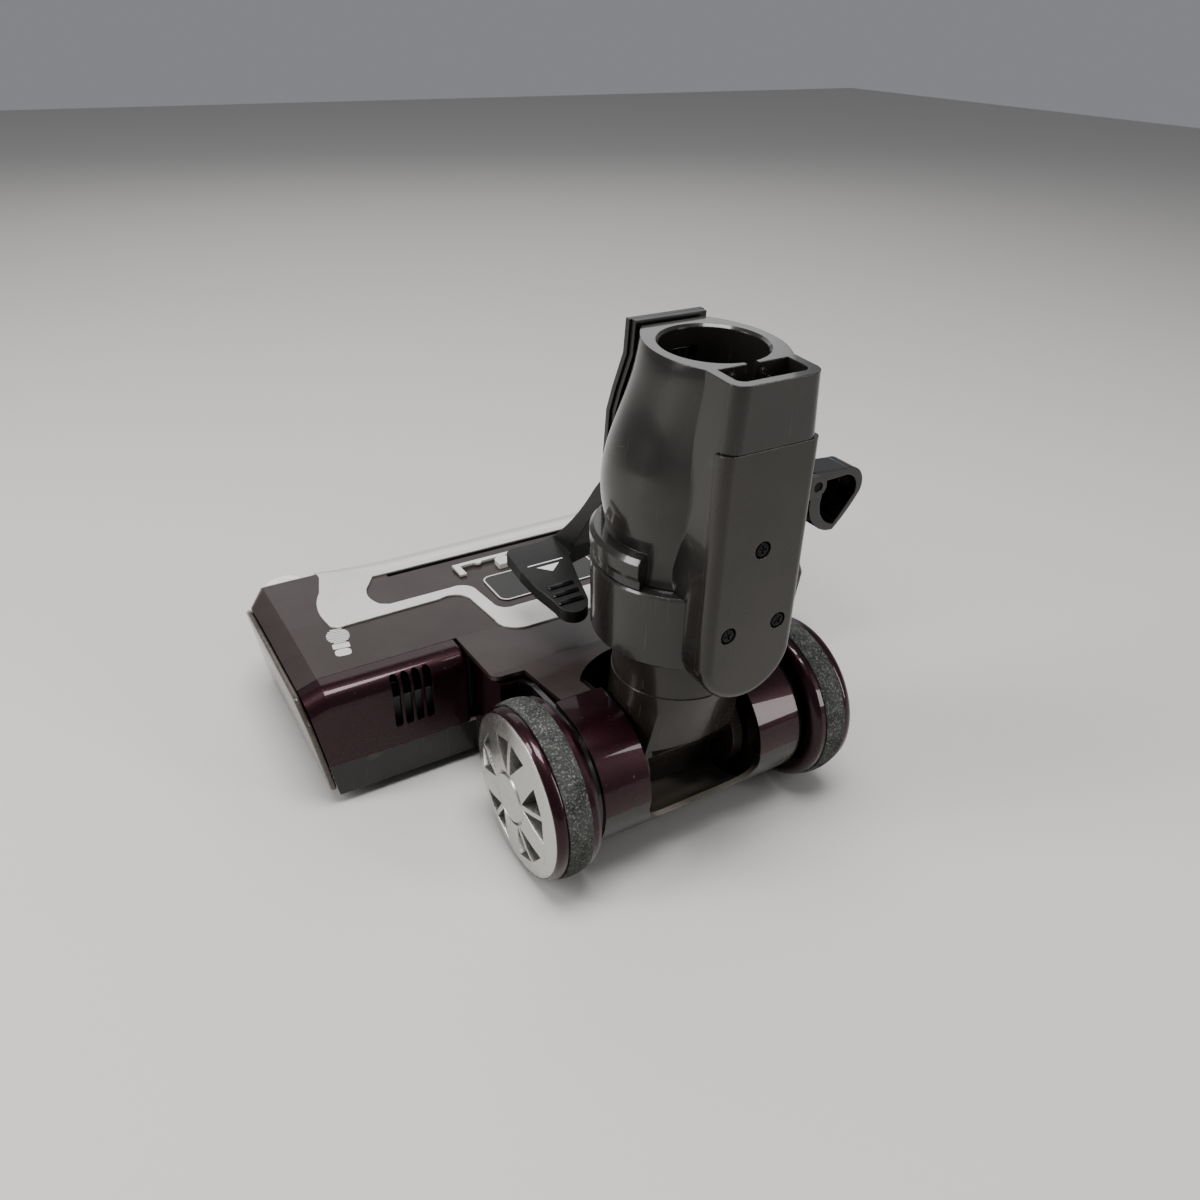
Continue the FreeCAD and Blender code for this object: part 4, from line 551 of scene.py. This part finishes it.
def layOn(piece, node, lift=0.00003):
    # drops a flat piece onto the node below it
    applyModifier(piece, "SHRINKWRAP", wrap_method="PROJECT", target=nodes[node], use_project_z=True,
                  use_positive_direction=False, use_negative_direction=True, offset=lift)


def thicken(piece, thick, soften=0.0):
    applyModifier(piece, "SOLIDIFY", thickness=thick, offset=1.0)
    if soften > 0:
        softenEdges(piece, soften)


def softenEdges(piece, width, segments=3):
    applyModifier(piece, "BEVEL", width=width, segments=segments)


def finishPiece(piece, material, body, smooth=35):
    # smooth is the angle, in degrees, past which an edge stays sharp
    deselectAll()
    piece.select_set(True)
    bpy.context.view_layer.objects.active = piece
    piece.data.materials.clear()
    piece.data.materials.append(material)
    bpy.ops.object.shade_smooth_by_angle(angle=math.radians(smooth))
    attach(piece, body)


printed = {"above": 0.01, "thick": 0.0001}
underline = {"from": (0.0146, -0.0036), "to": (0.0368, -0.0036), "wide": 0.0009}
arrow = {"middle": (0.0255, 0.00125), "wide": 0.0145, "long": 0.006}
grip = {"bars": 3, "first": (0.0274, 0.0178), "step": 0.006, "long": 0.0165, "wide": 0.0026, "high": 0.0010,
        "rounded": 0.49, "sunk": 0.0001, "soften": 0.0004}


def makeFootPadMarks():
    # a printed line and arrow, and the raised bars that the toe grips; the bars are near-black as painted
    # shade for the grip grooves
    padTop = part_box("wand_pedal")[1].z + printed["above"]
    left, right = Vector(underline["from"]), Vector(underline["to"])
    middle = (left + right) / 2
    line = newPlane("padLine", (middle.x, middle.y, padTop), (right - left).length, underline["wide"])
    layOn(line, "wand_pedal")
    thicken(line, printed["thick"])
    finishPiece(line, printWhite, "wand_pedal")
    deselectAll()
    bpy.ops.mesh.primitive_circle_add(vertices=3, radius=1.0, fill_type="NGON",
                                      location=(*arrow["middle"], padTop))
    tip = bpy.context.object
    tip.name = "padArrow"
    tip.scale = (arrow["wide"] / math.sqrt(3), arrow["long"] / 1.5, 1)  # the blank is sqrt(3) wide, 1.5 long
    settle()
    layOn(tip, "wand_pedal")
    thicken(tip, printed["thick"])
    finishPiece(tip, printWhite, "wand_pedal")
    for index in range(grip["bars"]):
        x, y = grip["first"]
        middle = (x, y + index * grip["step"], padTop)
        bar = newPlane("gripBar" + str(index + 1), middle, grip["long"], grip["wide"])
        roundCorners(grip["wide"] * grip["rounded"])
        layOn(bar, "wand_pedal", -grip["sunk"])
        thicken(bar, grip["high"], grip["soften"])
        # near-black here is painted shade, standing in for the shade inside the grip grooves
        finishPiece(bar, leverBlackAndGrooveShade, "wand_pedal")


plateFrame = {"wide": 0.0011, "corner": 0.006, "segments": 8, "thick": 0.0002, "lift": 0.00002}


def makePlateFrame():
    # thin light border on the bare label plate
    low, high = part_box("label_plate")
    middle = (low + high) / 2
    border = newPlane("plateBorder", (middle.x, middle.y, high.z + plateFrame["lift"]),
                      high.x - low.x, high.y - low.y)
    roundCorners(plateFrame["corner"], plateFrame["segments"])
    bpy.ops.object.mode_set(mode="EDIT")
    bpy.ops.mesh.select_all(action="SELECT")
    bpy.ops.mesh.inset(thickness=plateFrame["wide"])
    bpy.ops.mesh.delete(type="FACE")
    bpy.ops.object.mode_set(mode="OBJECT")
    thicken(border, plateFrame["thick"])
    finishPiece(border, silverTrim, "head")


# waist and heel: distance along the sole, width, length and corner radius
shoeMark = {"middle": (0.1360, -0.0515), "lean": 8.0, "wide": 0.0134, "long": 0.0152, "bars": 9,
            "gap": 0.0003, "taper": 1.9, "narrowest": 0.5, "corner": 0.00055, "above": 0.002, "thick": 0.0001,
            "waist": (0.0106, 0.0098, 0.0054, 0.0008), "heel": (0.0173, 0.0092, 0.0072, 0.0028)}


def makeShoeMark():
    # plain shoe sole on the cover: a barred sole, a waist and a heel
    x, y = shoeMark["middle"]
    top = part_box("top_cover")[1].z + shoeMark["above"]
    pitch = shoeMark["long"] / shoeMark["bars"]
    lean = math.tan(math.radians(shoeMark["lean"]))
    strips = []
    for index in range(shoeMark["bars"]):
        along = (index + 0.5) * pitch - shoeMark["long"] / 2
        taper = 1 - (along / shoeMark["long"] * shoeMark["taper"]) ** 2
        wide = shoeMark["wide"] * math.sqrt(max(0.0, taper))
        wide = max(wide, shoeMark["wide"] * shoeMark["narrowest"])
        strips.append((along, wide, pitch - shoeMark["gap"], shoeMark["corner"]))
    strips.append(shoeMark["waist"])
    strips.append(shoeMark["heel"])
    for index, (along, wide, long, corner) in enumerate(strips):
        piece = newPlane("soleMark" + str(index + 1), (x + along * lean, y + along, top), wide, long,
                         -shoeMark["lean"])
        roundCorners(corner)
        layOn(piece, "top_cover")
        thicken(piece, shoeMark["thick"])
        finishPiece(piece, silverTrim, "head")


screwHead = {"sides": 40, "radius": 0.0034, "high": 0.001, "slot": 0.0009, "reach": 0.0044, "deep": 0.0007,
             "seat": 0.0036, "soften": 0.0004, "turn": 20}


def makeScrewHeads():
    # pan heads with a cross recess, on the rear cover's three screws
    low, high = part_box("cover_screws")
    upper, lower = high.z - screwHead["seat"], low.z + screwHead["seat"]
    side = high.x - screwHead["seat"]
    for index, (x, z) in enumerate(((0.0, upper), (side, lower), (-side, lower))):
        deselectAll()
        bpy.ops.mesh.primitive_cylinder_add(vertices=screwHead["sides"], radius=screwHead["radius"],
                                            depth=screwHead["high"],
                                            location=(x, high.y + screwHead["high"] / 2, z),
                                            rotation=(math.radians(-90), 0, 0))
        head = bpy.context.object
        head.name = "screwHead" + str(index + 1)
        settle()
        softenEdges(head, screwHead["soften"])
        for turn in (screwHead["turn"] * index, screwHead["turn"] * index + 90):
            deselectAll()
            bpy.ops.mesh.primitive_cube_add(size=1.0, location=(x, high.y + screwHead["high"], z),
                                            rotation=(0, math.radians(turn), 0))
            cutter = bpy.context.object
            cutter.scale = (screwHead["reach"], screwHead["deep"] * 2, screwHead["slot"])
            cutAway(head, cutter)
        finishPiece(head, screwBlack, "neck")


contacts = {"count": 4, "sides": 24, "radius": 0.0015, "from": 0.262, "to": 0.2634, "dome": 0.6,
            "segments": 4}
dividers = {"spots": (-0.008, 0.008), "thick": 0.0014, "deep": 0.0042, "top": 0.2634, "soften": 0.0005}


def makeSocketFittings():
    # pale tips on the contact pins and the two dividers between them
    low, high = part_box("contact_pins")
    depth = contacts["to"] - contacts["from"]
    reach = (high.x - low.x) / 2 - contacts["radius"]
    for index in range(contacts["count"]):
        x = reach * (2 * index / (contacts["count"] - 1) - 1)
        deselectAll()
        bpy.ops.mesh.primitive_cylinder_add(vertices=contacts["sides"], radius=contacts["radius"],
                                            depth=depth,
                                            location=(x, (low.y + high.y) / 2, contacts["from"] + depth / 2))
        tip = bpy.context.object
        tip.name = "pinTip" + str(index + 1)
        settle()
        softenEdges(tip, contacts["radius"] * contacts["dome"], contacts["segments"])
        finishPiece(tip, steel, "neck")
    low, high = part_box("connector_block")
    for index, x in enumerate(dividers["spots"]):
        deselectAll()
        middle = (x, low.y + dividers["deep"] / 2, (high.z + dividers["top"]) / 2)
        bpy.ops.mesh.primitive_cube_add(size=1.0, location=middle)
        wall = bpy.context.object
        wall.name = "socketDivider" + str(index + 1)
        wall.scale = (dividers["thick"], dividers["deep"], dividers["top"] - high.z)
        settle()
        softenEdges(wall, dividers["soften"])
        finishPiece(wall, neckGrey, "neck")


capRound = {"width": 0.0016, "segments": 3, "weld": 0.00002, "flat": 1.0, "sharp": 30}


def roundEndCap(node, body):
    # the same cap with its outer edges eased, as a moulding has
    deselectAll()
    cap = nodes[node].copy()
    cap.data = nodes[node].data.copy()
    cap.parent = None
    cap.matrix_world = Matrix.Identity(4)
    cap.name = "eased_" + node
    bpy.context.scene.collection.objects.link(cap)
    cap.select_set(True)
    bpy.context.view_layer.objects.active = cap
    bpy.ops.object.mode_set(mode="EDIT")
    bpy.ops.mesh.select_all(action="SELECT")
    bpy.ops.mesh.remove_doubles(threshold=capRound["weld"])
    bpy.ops.mesh.dissolve_limited(angle_limit=math.radians(capRound["flat"]))
    bpy.ops.object.mode_set(mode="OBJECT")
    applyModifier(cap, "BEVEL", width=capRound["width"], segments=capRound["segments"], limit_method="ANGLE",
                  angle_limit=math.radians(capRound["sharp"]))
    finishPiece(cap, capGrey, body)
    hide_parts(node)


# first, ridge, spread and apex are angles round the axle, in degrees
hub = {"vertices": 96, "lip": 0.0030, "step": 0.0062, "sunk": 0.001, "edge": 0.0014, "edgeRise": 0.0006,
       "bandEnd": 0.0270, "bandRise": 0.0022, "bandShares": (0.6, 0.4), "centre": 0.0150,
       "centreRise": 0.0006, "groove": 0.0010, "buttonRise": 0.0004, "smooth": 8,
       "pairs": 5, "outer": 0.0350, "inner": 0.0148, "ridge": 1.5, "spread": 26.0, "apex": 5.0,
       "above": 0.0045, "deep": 0.0056, "floor": 0.8, "first": 20.0}


def pushFace(distance, way):
    bpy.ops.mesh.extrude_region_move(TRANSFORM_OT_translate={"value": (way * distance, 0, 0)})


def windowCutter(face, way, axle, corners):
    # three-sided pocket, narrower towards its floor; the blank's own corners are moved to the given ones
    deselectAll()
    bpy.ops.mesh.primitive_circle_add(vertices=3, radius=0.01, fill_type="NGON")
    cutter = bpy.context.object
    for vertex, (reach, angle) in zip(cutter.data.vertices, corners):
        turn = math.radians(angle)
        vertex.co = (face + way * hub["above"], axle.y + reach * math.cos(turn),
                     axle.z + reach * math.sin(turn))
    bpy.ops.object.mode_set(mode="EDIT")
    bpy.ops.mesh.select_all(action="SELECT")
    pushFace(-hub["above"] - hub["deep"], way)
    bpy.ops.transform.resize(value=(1, hub["floor"], hub["floor"]))
    bpy.ops.mesh.select_all(action="SELECT")
    bpy.ops.mesh.normals_make_consistent(inside=False)
    bpy.ops.object.mode_set(mode="OBJECT")
    return cutter


def makeHubCap(side, way):
    # a domed cap on a plug, with pairs of pockets between wide spokes
    node = "hub_cap_" + side
    low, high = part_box(node)
    axle = (low + high) / 2
    radius = (high.z - low.z) / 2
    back, face = (low.x, high.x) if way > 0 else (high.x, low.x)
    plug = abs(face - back) - hub["lip"] - hub["sunk"]
    deselectAll()
    bpy.ops.mesh.primitive_cylinder_add(vertices=hub["vertices"], radius=radius - hub["step"], depth=plug,
                                        location=(back + way * plug / 2, axle.y, axle.z),
                                        rotation=(0, math.radians(90), 0))
    cap = bpy.context.object
    cap.name = "spoked_" + node
    settle()
    for polygon in cap.data.polygons:
        polygon.select = polygon.normal.x * way > 0.9  # the end that looks outwards
    for edge in cap.data.edges:
        edge.select = False
    for vertex in cap.data.vertices:
        vertex.select = False
    bpy.ops.object.mode_set(mode="EDIT")
    bpy.ops.mesh.select_mode(type="FACE")
    wider = radius / (radius - hub["step"])
    bandWide = (radius - hub["edge"] - hub["bandEnd"]) / 2
    pushFace(0.0, way)
    bpy.ops.transform.resize(value=(1, wider, wider))
    pushFace(hub["lip"], way)
    bpy.ops.mesh.inset(thickness=hub["edge"], depth=hub["edgeRise"])
    for share in hub["bandShares"]:
        bpy.ops.mesh.inset(thickness=bandWide, depth=hub["bandRise"] * share)
    bpy.ops.mesh.inset(thickness=hub["bandEnd"] - hub["centre"], depth=hub["centreRise"])
    bpy.ops.mesh.inset(thickness=hub["groove"], depth=-hub["groove"])
    bpy.ops.mesh.inset(thickness=hub["groove"], depth=hub["groove"] + hub["buttonRise"])
    bpy.ops.object.mode_set(mode="OBJECT")
    for pair in range(hub["pairs"]):
        ridge = hub["first"] + pair * 360 / hub["pairs"]
        for turn in (1, -1):
            corners = ((hub["inner"], ridge + turn * hub["apex"]),
                       (hub["outer"], ridge + turn * hub["ridge"]),
                       (hub["outer"], ridge + turn * hub["spread"]))
            cutAway(cap, windowCutter(face, way, axle, corners))
    finishPiece(cap, hubSilver, "wheel_" + side, hub["smooth"])
    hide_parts(node)


baffle = {"x": 0.112, "behind": 0.0095, "z": 0.046, "wide": 0.028, "tall": 0.020, "thick": 0.0012,
          "tilt": -8.0, "soften": 0.4}


def makeVentBaffle(side, way):
    # pale plate that shows through the vent slots
    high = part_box("end_cap_" + side)[1]
    deselectAll()
    bpy.ops.mesh.primitive_cube_add(size=1.0,
                                    location=(way * baffle["x"], high.y - baffle["behind"], baffle["z"]),
                                    rotation=(math.radians(baffle["tilt"]), 0, 0))
    plate = bpy.context.object
    plate.name = "ventBaffle_" + side
    plate.scale = (baffle["wide"], baffle["thick"], baffle["tall"])
    settle()
    softenEdges(plate, baffle["thick"] * baffle["soften"])
    finishPiece(plate, baffleGrey, "head")


makeFootPadMarks()
makePlateFrame()
makeShoeMark()
makeScrewHeads()
makeSocketFittings()
for side, way in (("left", 1), ("right", -1)):
    roundEndCap("end_cap_" + side, "head")
    makeHubCap(side, way)
    makeVentBaffle(side, way)
print("marks and fittings made")

studio = {"size": 8.0, "paper": color(0.60, 0.585, 0.56), "shade": color(0.5, 0.48, 0.46), "shadeShare": 0.1,
          "clouds": 3.0, "rough": 0.7}


def makeFloor():
    deselectAll()
    bpy.ops.mesh.primitive_plane_add(size=studio["size"])
    floor = bpy.context.object
    floor.name = "studioFloor"
    material, tree, shader = newMaterial("floorPaper")
    clouds = calculate(tree, "MULTIPLY", noise(tree, studio["clouds"], 3.0), studio["shadeShare"])
    fill(tree, shader.inputs["Base Color"], mixColors(tree, clouds, studio["paper"], studio["shade"]))
    shader.inputs["Roughness"].default_value = studio["rough"]
    floor.data.materials.append(material)


air = {"color": color(0.93, 0.95, 1.0), "strength": 0.24, "contrast": "AgX - Medium High Contrast"}
lamps = {
    "ceilingLamp": {"at": (0.15, 0.25, 1.9), "wide": 1.0, "tall": 0.7, "watts": 26.0},
    "leftStrip": {"at": (1.35, -0.25, 0.95), "wide": 0.35, "tall": 1.3, "watts": 14.0},
    "rightStrip": {"at": (-0.9, 1.25, 0.8), "wide": 0.25, "tall": 1.2, "watts": 7.0},
    "backLamp": {"at": (-0.5, -1.7, 1.3), "wide": 2.2, "tall": 1.0, "watts": 6.0}}


def makeLamps():
    centre = (cadBox[0] + cadBox[1]) / 2
    for name, look in lamps.items():
        data = bpy.data.lights.new(name, "AREA")
        data.shape = "RECTANGLE"
        data.size = look["wide"]
        data.size_y = look["tall"]
        data.energy = look["watts"]
        lamp = bpy.data.objects.new(name, data)
        bpy.context.scene.collection.objects.link(lamp)
        lamp.location = look["at"]
        lamp.rotation_mode = "QUATERNION"
        lamp.rotation_quaternion = (centre - Vector(look["at"])).to_track_quat("-Z", "Y")
    world = bpy.context.scene.world or bpy.data.worlds.new("studioAir")
    bpy.context.scene.world = world
    world.use_nodes = True
    sky = world.node_tree.nodes["Background"]
    sky.inputs["Color"].default_value = air["color"]
    sky.inputs["Strength"].default_value = air["strength"]
    bpy.context.scene.view_settings.look = air["contrast"]


lens = {"at": (0.2507, 0.42205, 0.3928), "heading": 148.36, "down": 31.84, "roll": 1.48, "focal": 29.14,
        "sensor": 36.0}


def makeCamera():
    data = bpy.data.cameras.new("camera")
    data.sensor_width = lens["sensor"]
    data.lens = lens["focal"]
    camera = bpy.data.objects.new("camera", data)
    bpy.context.scene.collection.objects.link(camera)
    turn = (Matrix.Rotation(math.radians(lens["heading"]), 4, "Z")
            @ Matrix.Rotation(math.radians(90 - lens["down"]), 4, "X")
            @ Matrix.Rotation(math.radians(lens["roll"]), 4, "Z"))
    camera.matrix_world = Matrix.Translation(Vector(lens["at"])) @ turn
    bpy.context.scene.camera = camera


makeFloor()
makeLamps()
makeCamera()
print("studio ready")
